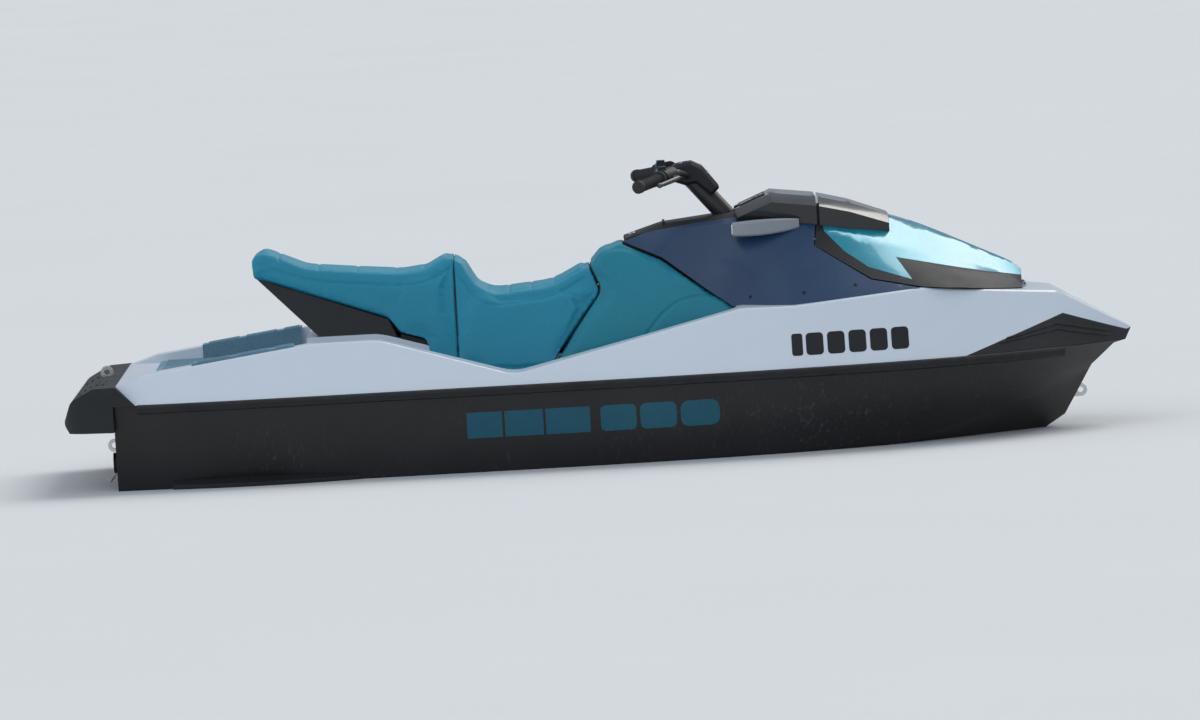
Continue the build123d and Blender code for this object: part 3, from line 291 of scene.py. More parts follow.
def seat_pattern(tree, tint, color):
    """Marine vinyl with a fine hide grain; faces that point up are painted a little paler, a painted
    highlight of light from above.
    """
    up = node(tree, "SeparateXYZ", {0: node(tree, "NewGeometry").outputs["Normal"]}).outputs["Z"]
    # Painted highlight: the faces that point up are made paler, as if lit from above.
    tint = blend(tree, times(tree, ramp(tree, up, 0.2, 1.0), 0.22), tint, shade(color, 1.55))
    fine = ramp(tree, cells(tree, 0.0026, "DISTANCE_TO_EDGE"), 0.0, 0.25)
    return blend(tree, fine, shade(color, 0.72), tint), (fine, 0.00025)


FINISHES = {
    "hull_black": dict(
        color=(0.0105, 0.011, 0.0125), rough=0.32, coat=0.15, specular=0.3, wave=0.0006, wave_size=0.25,
        film=0.35, mottle=0.2, wear=0.35, wear_color=(0.10, 0.10, 0.105), grain=0.00006, grain_size=0.004,
    ),
    # deck_white: its blue-grey tint is painted shade, the cool skylight on the deck's shaded side.
    "deck_white": dict(
        color=(0.57, 0.64, 0.73), rough=0.34, rough_vary=0.02, coat=0.35, wave=0.0005, wave_size=0.3,
        mottle=0.015, film=0.03, grain=0.00005, grain_size=0.004,
    ),
    "bumper_black": dict(
        color=(0.013, 0.015, 0.018), rough=0.55, specular=0.3, grain=0.0004, grain_size=0.0022, film=0.25,
        mottle=0.2, wear=0.5, wear_color=(0.09, 0.09, 0.09),
    ),
    "rail_black": dict(
        color=(0.013, 0.0135, 0.015), rough=0.6, specular=0.3, grain=0.0003, grain_size=0.0025, film=0.2,
        mottle=0.2, wear=0.6, wear_color=(0.10, 0.10, 0.10),
    ),
    "mat_blue": dict(
        color=(0.125, 0.25, 0.34), rough=0.85, pattern=mat_pattern, grain=0.0003, grain_size=0.0015,
        mottle=0.14,
    ),
    "fairing_slate": dict(
        color=(0.017, 0.048, 0.110), rough=0.38, coat=0.08, specular=0.35, grain=0.00025, grain_size=0.0016,
        mottle=0.12, wear=0.3, wear_color=(0.10, 0.13, 0.18),
    ),
    "trim_black": dict(
        color=(0.010, 0.0115, 0.0145), rough=0.5, specular=0.3, grain=0.0003, grain_size=0.0016, mottle=0.2,
        wear=0.35, wear_color=(0.08, 0.08, 0.08),
    ),
    "hood_teal": dict(
        color=(0.009, 0.22, 0.31), rough=0.24, metal=0.2, coat=0.55, pattern=flake_pattern, mottle=0.08,
    ),
    "visor_black": dict(
        color=(0.009, 0.010, 0.013), rough=0.2, coat=0.45, specular=0.4, mottle=0.15, wave=0.0002,
        wave_size=0.1,
    ),
    "seat_teal": dict(
        color=(0.009, 0.265, 0.405), rough=0.48, pattern=seat_pattern, sheen=0.03, specular=0.35, mottle=0.08,
    ),
    "seat_green": dict(
        color=(0.007, 0.245, 0.345), rough=0.48, pattern=seat_pattern, sheen=0.03, specular=0.35, mottle=0.08,
    ),
    "bin_grey": dict(color=(0.06, 0.062, 0.066), rough=0.62, grain=0.0004, grain_size=0.002, mottle=0.15),
    "bar_metal": dict(
        color=(0.02, 0.021, 0.023), rough=0.38, grain=0.0002, grain_size=0.0012, wear=0.4,
        wear_color=(0.35, 0.35, 0.36),
    ),
    "grip_black": dict(color=(0.016, 0.016, 0.017), rough=0.7, pattern=grip_pattern, mottle=0.2),
    "lever_metal": dict(
        color=(0.12, 0.125, 0.13), rough=0.33, metal=0.8, pattern=brushed_pattern, wear=0.5,
        wear_color=(0.5, 0.5, 0.51),
    ),
    "mirror_grey": dict(
        color=(0.215, 0.245, 0.28), rough=0.32, coat=0.3, mottle=0.06, grain=0.0001, grain_size=0.002,
    ),
    "glass": dict(color=(0.72, 0.75, 0.78), rough=0.05, metal=1.0, mottle=0.03, rough_vary=0.4),
    "screen": dict(color=(0.012, 0.016, 0.02), rough=0.09, coat=1.0, mottle=0.25, mottle_size=0.05),
    "pump_metal": dict(
        color=(0.46, 0.47, 0.48), rough=0.42, metal=0.85, pattern=cast_pattern, mottle=0.12, wear=0.3,
        wear_color=(0.7, 0.7, 0.7),
    ),
    "steel": dict(color=(0.55, 0.555, 0.56), rough=0.26, metal=1.0, pattern=brushed_pattern, mottle=0.08),
    "eye_steel": dict(color=(0.62, 0.625, 0.63), rough=0.2, metal=1.0, pattern=brushed_pattern, mottle=0.08),
    "engine_grey": dict(color=(0.20, 0.205, 0.21), rough=0.55, metal=0.6, pattern=cast_pattern, mottle=0.15),
}
materials = {name: material(name, **spec) for name, spec in FINISHES.items()}


def dress(obj, slot):
    """Gives a piece the finish of a slot of the record."""
    obj.data.materials.clear()
    obj.data.materials.append(materials[slot])


# Edges
WELD = 0.00002
SHARP = radians(28)
BEVEL_OVER = radians(38)
FACE_WEIGHT = 80
EDGE_USUAL = 0.0012
EDGE = {
    "hull": 0.003, "deck": 0.0025, "stern_bumper": 0.006, "bow_bumper": 0.003, "hood_trim": 0.0015,
    "gauge_pod": 0.005, "hood_visor": 0.005,
}


def soft_edges_group(name, angle):
    """Geometry nodes that weld the facets, smooth them and keep edges over angle sharp."""
    group = bpy.data.node_groups.new(name, "GeometryNodeTree")
    group.interface.new_socket("Geometry", in_out="INPUT", socket_type="NodeSocketGeometry")
    group.interface.new_socket("Geometry", in_out="OUTPUT", socket_type="NodeSocketGeometry")
    start = group.nodes.new("NodeGroupInput")
    end = group.nodes.new("NodeGroupOutput")
    weld = group.nodes.new("GeometryNodeMergeByDistance")
    weld.inputs["Distance"].default_value = WELD
    smooth = group.nodes.new("GeometryNodeSetShadeSmooth")
    sharp = group.nodes.new("GeometryNodeSetShadeSmooth")
    sharp.domain = "EDGE"
    sharp.inputs["Shade Smooth"].default_value = False
    turn = group.nodes.new("GeometryNodeInputMeshEdgeAngle")
    over = group.nodes.new("FunctionNodeCompare")
    over.data_type = "FLOAT"
    over.operation = "GREATER_THAN"
    over.inputs[1].default_value = angle
    links = group.links
    links.new(start.outputs[0], weld.inputs["Geometry"])
    links.new(weld.outputs[0], smooth.inputs["Geometry"])
    links.new(smooth.outputs[0], sharp.inputs["Geometry"])
    links.new(turn.outputs["Unsigned Angle"], over.inputs[0])
    links.new(over.outputs[0], sharp.inputs["Selection"])
    links.new(sharp.outputs[0], end.inputs[0])
    return group


soft_edges = soft_edges_group("soft_edges", SHARP)


def ease_edges(obj, width):
    """Rounds a piece's edges a little, as moulding and casting do."""
    group = obj.modifiers.new("weld", "NODES")
    group.node_group = soft_edges
    if width:
        bevel = obj.modifiers.new("edge", "BEVEL")
        bevel.width = width
        bevel.segments = 2
        bevel.limit_method = "ANGLE"
        bevel.angle_limit = BEVEL_OVER
        bevel.harden_normals = False
    tidy = obj.modifiers.new("normals", "WEIGHTED_NORMAL")
    tidy.keep_sharp = True
    tidy.weight = FACE_WEIGHT


slots = {part["node"]: part["material_slot"] for part in frame["record"]["subparts"]}
for name, obj in nodes.items():
    dress(obj, slots[name])
    ease_edges(obj, EDGE.get(name, EDGE_USUAL))


def linked(name, mesh):
    obj = bpy.data.objects.new(name, mesh)
    scene.collection.objects.link(obj)
    return obj


def evaluated_mesh(obj):
    bpy.context.view_layer.update()
    return bpy.data.meshes.new_from_object(obj.evaluated_get(bpy.context.evaluated_depsgraph_get()))


# Skins and rays: each finds places, with the skin's normals
RAY_START = 2.0  # from the middle, clear of the craft
RAY_START_AFT = -3.0


def tree_of(obj):
    return BVHTree.FromPolygons([v.co for v in obj.data.vertices], [p.vertices for p in obj.data.polygons])


def skin_of(*names):
    """The surface of some CAD nodes."""
    verts, faces = [], []
    for name in names:
        mesh, start = nodes[name].data, len(verts)
        verts += [v.co.copy() for v in mesh.vertices]
        faces += [[start + i for i in p.vertices] for p in mesh.polygons]
    return BVHTree.FromPolygons(verts, faces)


def cast(skin, start, way):
    """Where a ray meets a skin, or the nearest place if it misses."""
    point, normal, _, _ = skin.ray_cast(Vector(start), Vector(way))
    if point is None:
        point, normal, _, _ = skin.find_nearest(Vector(start))
    return point, normal


def from_side(skin, side, x, z):
    return cast(skin, (x, side * RAY_START, z), (0, -side, 0))


def from_top(skin, x, y):
    return cast(skin, (x, y, RAY_START), (0, 0, -1))


def from_below(skin, x, y):
    return cast(skin, (x, y, -RAY_START), (0, 0, 1))


def from_aft(skin, y, z):
    return cast(skin, (RAY_START_AFT, y, z), (1, 0, 0))


def resample(points, step):
    """Points about step apart along a broken line."""
    spots = [Vector(points[0])]
    for a, b in zip(points, points[1:]):
        a, b = Vector(a), Vector(b)
        count = max(1, round((b - a).length / step))
        spots += [a.lerp(b, (i + 1) / count) for i in range(count)]
    return spots


def rounded(points, rounds=3):
    """A broken line with its corners cut again and again, into a smooth one."""
    line = [Vector(p) for p in points]
    for _ in range(rounds):
        cut = [line[0]]
        for a, b in zip(line, line[1:]):
            cut += [a.lerp(b, 0.25), a.lerp(b, 0.75)]
        line = [*cut, line[-1]]
    return line


def hits(skin, starts, way):
    """The places where rays from the starts meet a skin, without those that miss."""
    found = []
    for start in starts:
        point, normal, _, _ = skin.ray_cast(start, Vector(way))
        if point:
            found.append((point, normal))
    return found


def side_line(skin, points, side, step):
    """A line of points (x, z) thrown from the side onto a skin."""
    spots = resample([(x, 0, z) for x, z in points], step)
    return hits(skin, [Vector((spot.x, side * RAY_START, spot.z)) for spot in spots], (0, -side, 0))


def top_line(skin, points, step):
    """A line of points (x, y) dropped from above onto a skin."""
    spots = resample([(x, y, 0) for x, y in points], step)
    return hits(skin, [Vector((spot.x, spot.y, RAY_START)) for spot in spots], (0, 0, -1))


def top_run(skin, points, step):
    """A line of points (x, y) laid on a skin, also where a ray misses it."""
    return [from_top(skin, spot.x, spot.y) for spot in resample([(x, y, 0) for x, y in points], step)]


# Padded seat
VOXEL = 0.007
EVEN_ROUNDS = 4  # smoothing of the voxels' steps
SETTLE = 0.004  # how far the form is drawn in before it is swollen
HELD = 0.1  # the share of that where it meets a neighbour or rests
RESTS_UNDER = -0.5  # a normal's z where it rests
SWELL = 0.006  # how far the pressed cover may stand out
SEAM_HOLD = 1.6  # how fast the swelling along X fades towards the faces that meet a neighbour
REST_HEIGHT = 0.30  # below it a cushion stays as it is
CLOTH_FRAMES = 20
CLOTH_QUALITY = 4
CLOTH_PRESSURE = 4.0
CLOTH_STIFFNESS = 25.0
SEAM_DEPTH = 0.003
SEAM_WIDTH = 0.005
SEAM_STEP = 0.004
BELL = 2.718  # base of the seam's bell-shaped section


def settle(mesh, amount):
    """Draws a closed form in along its normals, but hardly where it meets its neighbours or rests."""
    work = bmesh.new()
    work.from_mesh(mesh)
    work.normal_update()
    for vert, normal in [(v, v.normal.copy()) for v in work.verts]:
        free = max(HELD, 1 - abs(normal.x) ** 2) if normal.z > RESTS_UNDER else HELD
        vert.co -= normal * amount * free
    work.to_mesh(mesh)
    work.free()


def even_copy(name, source):
    """A CAD solid as one closed mesh of even faces."""
    welded = source.data.copy()
    work = bmesh.new()
    work.from_mesh(welded)
    bmesh.ops.remove_doubles(work, verts=work.verts, dist=WELD)
    work.to_mesh(welded)
    work.free()
    form = linked(name + "_form", welded)
    voxels = form.modifiers.new("voxels", "REMESH")
    voxels.mode = "VOXEL"
    voxels.voxel_size = VOXEL
    form.modifiers.new("even", "SMOOTH").iterations = EVEN_ROUNDS
    mesh = evaluated_mesh(form)
    bpy.data.objects.remove(form)
    mesh.name = name
    return mesh


def swell(obj):
    """Blows a cushion up by a short cloth simulation with pressure."""
    mesh = obj.data
    rest = [v.co.copy() for v in mesh.vertices]
    cloth = obj.modifiers.new("cover", "CLOTH")
    cloth.settings.quality = CLOTH_QUALITY
    cloth.settings.use_pressure = True
    cloth.settings.uniform_pressure_force = CLOTH_PRESSURE
    cloth.settings.effector_weights.gravity = 0.0
    cloth.settings.tension_stiffness = CLOTH_STIFFNESS
    cloth.settings.compression_stiffness = CLOTH_STIFFNESS
    cloth.point_cache.frame_start = 1
    cloth.point_cache.frame_end = CLOTH_FRAMES
    for tick in range(1, CLOTH_FRAMES + 1):
        scene.frame_set(tick)
    swollen = [v.co.copy() for v in evaluated_mesh(obj).vertices]
    obj.modifiers.remove(cloth)
    scene.frame_set(1)
    for vert, start, end in zip(mesh.vertices, rest, swollen):
        if start.z > REST_HEIGHT:
            move = end - start
            move.x *= max(0.0, 1 - SEAM_HOLD * abs(vert.normal.x))
            vert.co = start + move * min(1.0, SWELL / max(move.length, 1e-9))


def inflate(name, source):
    """A padded copy of a CAD solid."""
    mesh = even_copy(name, source)
    settle(mesh, SETTLE)
    obj = linked(name, mesh)
    swell(obj)
    smooth = obj.modifiers.new("round", "SUBSURF")
    smooth.levels = 1
    smooth.render_levels = 1
    fine = evaluated_mesh(obj)
    obj.modifiers.clear()
    obj.data = fine
    fine.shade_smooth()
    return obj


def press(obj, lines, depth, width):
    """Sinks a skin along lines, as a sewn seam does."""
    spots = [point for line in lines for point, normal in line]
    near = KDTree(len(spots))
    for index, point in enumerate(spots):
        near.insert(point, index)
    near.balance()
    moved = []
    for vert in obj.data.vertices:
        gap = near.find(vert.co)[2]
        if gap < 3 * width:
            moved.append((vert, vert.normal * depth * BELL ** (-((gap / width) ** 2))))
    for vert, sink in moved:
        vert.co -= sink


def tube(name, line, radius, sides):
    """A round cord along points with normals."""
    verts, faces = [], []
    points = [point for point, normal in line]
    for i, (point, normal) in enumerate(line):
        along = (points[min(i + 1, len(points) - 1)] - points[max(i - 1, 0)]).normalized()
        across = along.cross(normal).normalized()
        up = across.cross(along)
        for k in range(sides):
            turn = 2 * pi * k / sides
            verts.append(point + (across * cos(turn) + up * sin(turn)) * radius)
    for i in range(len(points) - 1):
        for k in range(sides):
            a, b = i * sides + k, i * sides + (k + 1) % sides
            faces.append((a, b, b + sides, a + sides))
    faces += [tuple(reversed(range(sides))), tuple(range(len(verts) - sides, len(verts)))]
    mesh = bpy.data.meshes.new(name)
    mesh.from_pydata(verts, [], faces)
    mesh.shade_smooth()
    return linked(name, mesh)


def joined(name, parts):
    """Several made pieces as one."""
    work = bmesh.new()
    for part in parts:
        work.from_mesh(part.data)
        bpy.data.objects.remove(part)
    mesh = bpy.data.meshes.new(name)
    work.to_mesh(mesh)
    work.free()
    return linked(name, mesh)


def stitches(name, line, pitch=0.007, length=0.0045, radius=0.0006, aside=0.0045, lift=0.0002):
    """Two rows of thread along a seam, stitch by stitch."""
    pieces, walked, last = [], 0.0, None
    for (point, normal), (ahead, _) in zip(line, line[1:]):
        walked += (ahead - point).length
        if last is not None and walked - last < pitch:
            continue
        last = walked
        along = (ahead - point).normalized()
        across = along.cross(normal).normalized()
        for side in (-1, 1):
            spot = point + across * aside * side + normal * lift
            ends = [(spot - along * length / 2, normal), (spot + along * length / 2, normal)]
            pieces.append(tube("stitch", ends, radius, 5))
    return joined(name, pieces)


# Seams in side view, both sides: x, z
DRIVER_SIDE = (
    (-0.425, 0.592), (-0.366, 0.500), (-0.31, 0.486), (-0.22, 0.494), (-0.128, 0.506), (-0.035, 0.556),
)
PASSENGER_SIDE = (
    (-1.045, 0.652), (-0.896, 0.594), (-0.747, 0.577), (-0.60, 0.563), (-0.52, 0.572), (-0.452, 0.606),
)
NOSE_CREASE = ((0.150, 0.376), (0.205, 0.440), (0.262, 0.478), (0.385, 0.490))
# Seams across the top: x, half width
DRIVER_TOP = ((-0.335, 0.15), (-0.27, 0.16), (-0.20, 0.16), (-0.13, 0.15))
PASSENGER_TOP = ((-0.98, 0.12), (-0.86, 0.13), (-0.74, 0.135), (-0.62, 0.135), (-0.53, 0.13))
# Cushions: name, CAD node, body, side seam, top seams
CUSHIONS = (
    ("driver_cushion", "seat_driver", "seat", DRIVER_SIDE, DRIVER_TOP),
    ("passenger_cushion", "seat_passenger", "seat", PASSENGER_SIDE, PASSENGER_TOP),
    ("nose_cushion", "seat_nose", "craft", NOSE_CREASE, ()),
)
# Welts that close the joints of the cushions: name, body, sources of the width, middle line in side view
SPLIT_JOINT = ((-0.437, 0.315), (-0.437, 0.630))
NOSE_JOINT = ((-0.142, 0.330), (-0.03, 0.468), (0.009, 0.512), (0.0125, 0.528), (-0.013, 0.588))
SEAT_JOINTS = (
    ("seat_split_welt", "seat", ("seat_driver", "seat_passenger"), SPLIT_JOINT),
    ("nose_joint_welt", "craft", ("seat_driver", "seat_nose"), NOSE_JOINT),
)
JOINT_STEP = 0.02
JOINT_HALF = 0.0012  # half the welt's thickness
JOINT_INSET = 0.008  # how far its ends stay inside the cushions
JOINT_PROBES = [(x, z) for x in (-0.01, 0.01) for z in (0, 0.012)]


def make_cushion(name, source, body, side_seam, top_seams):
    """One padded cushion with its seams pressed in and stitched."""
    cushion = inflate(name, nodes[source])
    skin = tree_of(cushion)
    seam = [tuple(point)[:2] for point in rounded([(x, z, 0) for x, z in side_seam])]
    lines = [side_line(skin, seam, side, SEAM_STEP) for side in (-1, 1)]
    lines += [top_line(skin, [(x, -half), (x, half)], SEAM_STEP) for x, half in top_seams]
    press(cushion, lines, SEAM_DEPTH, SEAM_WIDTH)
    skin = tree_of(cushion)
    dress(cushion, slots[source])
    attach(cushion, body)
    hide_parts(source)
    rows = []
    for line in lines:
        settled = [skin.find_nearest(point)[:2] for point, _ in line]
        rows.append(stitches("row", settled))
    thread = joined(name + "_stitching", rows)
    dress(thread, "seat_green")
    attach(thread, body)


def make_joint_welt(name, body, sources, seam):
    """A thin plate that fills the joint between two cushions, a little inside their sides."""
    skin = skin_of(*sources)
    line = resample([(x, 0, z) for x, z in seam], JOINT_STEP)
    rings = []
    for i, spot in enumerate(line):
        reach = [from_side(skin, 1, spot.x + x, spot.z + z)[0].y for x, z in JOINT_PROBES]
        wide = Vector((0, min(reach) - JOINT_INSET, 0))
        ahead = (line[min(i + 1, len(line) - 1)] - line[max(i - 1, 0)]).normalized()
        off = Vector((-ahead.z, 0, ahead.x)) * JOINT_HALF
        rings.append([spot + wide - off, spot + wide + off, spot - wide + off, spot - wide - off])
    welt = Shape()
    welt.loft(rings)
    welt.piece(name, "trim_black", body)


def make_seat():
    for cushion in CUSHIONS:
        make_cushion(*cushion)
    for joint in SEAT_JOINTS:
        make_joint_welt(*joint)


# Detail pieces
CORNER_STEPS = 4  # of a panel's round corner


class Shape:
    """Faces gathered for one piece."""

    def __init__(self):
        self.verts, self.faces = [], []

    def loft(self, rings):
        """Skins closed rings of points one after another and caps both ends."""
        start, count = len(self.verts), len(rings[0])
        for ring in rings:
            self.verts += ring
        for i in range(len(rings) - 1):
            for k in range(count):
                a, b = start + i * count + k, start + i * count + (k + 1) % count
                self.faces.append((a, b, b + count, a + count))
        end = len(self.verts)
        self.faces += [tuple(reversed(range(start, start + count))), tuple(range(end - count, end))]

    def turned(self, profile, foot, way, size=1.0, sides=20, flats=()):
        """A turned form: rows of radius and height about an axis. Rows in flats are six-sided."""
        way = Vector(way).normalized()
        side = way.orthogonal().normalized()
        other = way.cross(side)
        rings = []
        for row, (radius, height) in enumerate(profile):
            ring = []
            for k in range(sides):
                turn = 2 * pi * k / sides
                reach = radius * size
                if row in flats:
                    reach *= cos(pi / 6) / cos((turn + pi / 6) % (pi / 3) - pi / 6)
                out = (side * cos(turn) + other * sin(turn)) * reach
                ring.append(Vector(foot) + way * height * size + out)
            rings.append(ring)
        self.loft(rings)

    def swept(self, line, section):
        """A section (across, up) drawn along points with normals."""
        rings = []
        for i, (point, normal) in enumerate(line):
            ahead = line[min(i + 1, len(line) - 1)][0] - line[max(i - 1, 0)][0]
            across = ahead.cross(normal).normalized()
            rings.append([point + across * a + normal * b for a, b in section])
        self.loft(rings)

    def panel(self, place_on, width, height, corner, thick, step=0.02, sink=0.0006):
        """A thin plate with round corners. place_on(a, b) gives the skin's point and normal there."""
        turns = [corner * (1 - cos(pi / 2 / CORNER_STEPS * i)) for i in range(CORNER_STEPS + 1)]
        middle = max(1, round((height - 2 * corner) / step))
        rows = turns + [corner + (height - 2 * corner) * i / middle for i in range(1, middle)]
        rows += [height - t for t in reversed(turns)]
        count = max(2, round(width / step))
        tops, lows = [], []
        for b in rows:
            off = min(b, height - b, corner)
            inset = corner - (corner**2 - (corner - off) ** 2) ** 0.5
            spots = [place_on(inset + (width - 2 * inset) * k / count, b) for k in range(count + 1)]
            tops.append([point + normal * thick for point, normal in spots])
            lows.append([point - normal * sink for point, normal in spots])
        self.slab(tops, lows)

    def slab(self, tops, lows):
        """Closes two equal grids of points into a plate."""
        start, wide, deep = len(self.verts), len(tops[0]), len(tops)
        for grid in (tops, lows):
            for row in grid:
                self.verts += row
        low = wide * deep

        def at(i, k):
            return start + i * wide + k

        for i in range(deep - 1):
            for k in range(wide - 1):
                quad = (at(i, k), at(i, k + 1), at(i + 1, k + 1), at(i + 1, k))
                self.faces += [quad, tuple(low + v for v in reversed(quad))]
        rim = [at(0, k) for k in range(wide)] + [at(i, wide - 1) for i in range(1, deep)]
        rim += [at(deep - 1, k) for k in range(wide - 2, -1, -1)] + [at(i, 0) for i in range(deep - 2, 0, -1)]
        for a, b in zip(rim, rim[1:] + rim[:1]):
            self.faces.append((a, a + low, b + low, b))

    def piece(self, name, slot, body, edge=0.0):
        """Makes the piece, gives it its finish and lets it ride. edge is how far its edges are rounded."""
        mesh = bpy.data.meshes.new(name)
        mesh.from_pydata(self.verts, [], self.faces)
        work = bmesh.new()
        work.from_mesh(mesh)
        bmesh.ops.recalc_face_normals(work, faces=work.faces)
        work.to_mesh(mesh)
        work.free()
        obj = linked(name, mesh)
        dress(obj, slot)
        ease_edges(obj, edge)
        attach(obj, body)
        return obj


def ridge(foot, top, height, sink=0.001):
    """Section of a raised strip: half widths at foot and top, height over the skin and depth under it."""
    return ((foot, -sink), (-foot, -sink), (-top, height), (top, height))


def strip(name, slot, body, line, section):
    """A piece that is one strip along points with normals."""
    shape = Shape()
    shape.swept(line, section)
    shape.piece(name, slot, body)


# Radius and height over the bolt's radius: washer, domed head, six-sided socket
BOLT = (
    (1.0, -0.2), (1.0, 0.08), (0.93, 0.15), (0.74, 0.16), (0.74, 0.40), (0.64, 0.54), (0.38, 0.60),
    (0.35, 0.57), (0.35, 0.25),
)
SOCKET = (7, 8)
BOLT_SIDES = 18


def bolts(name, slot, body, spots, radius, lift=0.0):
    """Bolts at points with normals; lift is the height of the plate that they hold."""
    shape = Shape()
    for point, normal in spots:
        shape.turned(BOLT, point + normal * lift, normal, radius, BOLT_SIDES, SOCKET)
    shape.piece(name, slot, body)


# Blocks on the hull's and the deck's sides: start, width, corner
BADGE = (
    (-0.418, 0.108, 0.002), (-0.302, 0.118, 0.002), (-0.176, 0.136, 0.002), (-0.008, 0.110, 0.016),
    (0.114, 0.112, 0.018), (0.238, 0.120, 0.026),
)
BADGE_FOOT = 0.107
BADGE_HEIGHT = 0.080
BADGE_THICK = 0.0007
BADGE_EDGE = 0.0003
NUMBER = ((0.590, 0.034, 0.008), *((0.634 + 0.066 * i, 0.054, 0.012) for i in range(5)))
NUMBER_FOOT = 0.302
NUMBER_HEIGHT = 0.066
NUMBER_THICK = 0.0006
NUMBER_EDGE = 0.0002


def blocks(skin, side, row, foot, height, thick):
    """A row of plain blocks on one side of a skin."""
    shape = Shape()
    for x, width, corner in row:
        shape.panel(lambda a, b: from_side(skin, side, x + a, foot + b), width, height, corner, thick)
    return shape


def make_decals():
    """Plain blocks where the craft carries its badge and number. They spell nothing."""
    hull, deck = skin_of("hull"), skin_of("deck")
    wear = dict(wear=0.3, wear_color=(0.05, 0.12, 0.15), film=0.3)
    badge_film = material("badge_film", (0.008, 0.075, 0.115), 0.5, specular=0.3, speck=0.25, **wear)
    for side, word in ((-1, "starboard"), (1, "port")):
        badge = blocks(hull, side, BADGE, BADGE_FOOT, BADGE_HEIGHT, BADGE_THICK)
        badge_piece = badge.piece("badge_blocks_" + word, "hood_teal", "craft", BADGE_EDGE)
        badge_piece.data.materials[0] = badge_film
        number = blocks(deck, side, NUMBER, NUMBER_FOOT, NUMBER_HEIGHT, NUMBER_THICK)
        number.piece("number_blocks_" + word, "trim_black", "craft", NUMBER_EDGE)


RIB_PITCH = 0.0145
RIB_RUN = 0.118
RIB_CUT = 0.008
RIB_STEP = 0.004  # on flat mats
RIB_STEP_BENT = 0.012  # over the gunwales
RIB = ridge(0.0050, 0.0036, 0.0024, 0.0008)
FLAT_OVER = 0.8  # a normal's z on what faces up
# Where the mats' tops lie, in x, y and z
FOOTWELL_X = (-0.955, 0.42)
FOOTWELL_Y = ((-0.425, -0.232), (0.232, 0.425))
FOOTWELL_Z = (0.058, 0.064)
PLATFORM_X = (-1.372, -1.02)
PLATFORM_Y = (-0.395, 0.395)
PLATFORM_Z = (0.334, 0.338)
GUNWALE_X = (-1.246, -0.945)
GUNWALE_Y = ((-0.490, -0.424), (0.424, 0.490))
GUNWALE_Z = (0.34, 0.46)


def ribs(shape, skin, x_span, y_span, z_span, step, straight=True):
    """Foam ribs that run fore and aft on what faces up, cut every hand's breadth."""
    count = int((y_span[1] - y_span[0]) / RIB_PITCH)
    steps = int((x_span[1] - x_span[0]) / step)
    for i in range(count + 1):
        y = y_span[0] + (y_span[1] - y_span[0]) * i / count
        run = []
        for k in range(steps + 1):
            x = x_span[0] + step * k
            point, normal, _, _ = skin.ray_cast(Vector((x, y, RAY_START)), Vector((0, 0, -1)))
            good = point is not None and z_span[0] < point.z < z_span[1] and normal.z > FLAT_OVER
            cut = (x - x_span[0]) % RIB_RUN < RIB_CUT
            if good and not cut:
                run.append((point, normal))
            if run and (not good or cut or k == steps):
                if len(run) > 2:
                    shape.swept([run[0], run[-1]] if straight else run, RIB)
                run = []


def make_mats():
    shape = Shape()
    skin = skin_of("footwell_mats")
    for y_span in FOOTWELL_Y:
        ribs(shape, skin, FOOTWELL_X, y_span, FOOTWELL_Z, RIB_STEP)
    shape.piece("footwell_mat_ribs", "mat_blue", "craft")
    shape = Shape()
    skin = skin_of("platform_mat", "deck", "seat_support")
    ribs(shape, skin, PLATFORM_X, PLATFORM_Y, PLATFORM_Z, RIB_STEP)
    skin = skin_of("platform_mat")
    for y_span in GUNWALE_Y:
        ribs(shape, skin, GUNWALE_X, y_span, GUNWALE_Z, RIB_STEP_BENT, straight=False)
    shape.piece("platform_mat_ribs", "mat_blue", "craft")


# Middle line of the grips' bar: inner and outer end on port
BAR_RUN = (Vector((0.272, 0.150, 0.866)), Vector((0.150, 0.372, 0.838)))
GRIP_SHARES = (0.50, 0.955)
POD_SHARE = 0.28
LEVER_SHARE = 0.8
GRIP_RADIUS = 0.017
RING_PITCH = 0.0058
# Rows of radius and height
GRIP_RING = (
    (GRIP_RADIUS - 0.001, -0.0019), (GRIP_RADIUS + 0.0011, -0.0011),
    (GRIP_RADIUS + 0.0011, 0.0011), (GRIP_RADIUS - 0.001, 0.0019),
)
KNOB = ((0.0066, -0.002), (0.0066, 0.0020), (0.0056, 0.0032), (0.0030, 0.0036))
BALL = (
    (0.002, -0.0085), (0.0062, -0.0066), (0.0086, -0.0020), (0.0086, 0.0020), (0.0062, 0.0066),
    (0.002, 0.0085),
)
# Places from a pod's middle
SWITCHES = ((-0.026, 0.014, 0.018), (-0.026, 0.001, 0.0))
START_SWITCH = (-0.026, -0.012, 0.018)
LEVER_TIP = (0.040, 0.004, -0.006)  # from the bar, outwards on either side
SWITCH_EDGE = 0.0002
PAD_SCREWS = [(x, y) for x in (0.285, 0.368) for y in (-0.046, 0.046)]
PAD_SCREW = 0.0048  # radius
PAD_BORDER = ((0.270, -0.052), (0.270, 0.052), (0.305, 0.052), (0.305, -0.052), (0.270, -0.052))
PAD_STEP = 0.006


def bar_place(side, share):
    point = BAR_RUN[0].lerp(BAR_RUN[1], share)
    return Vector((point.x, side * point.y, point.z))


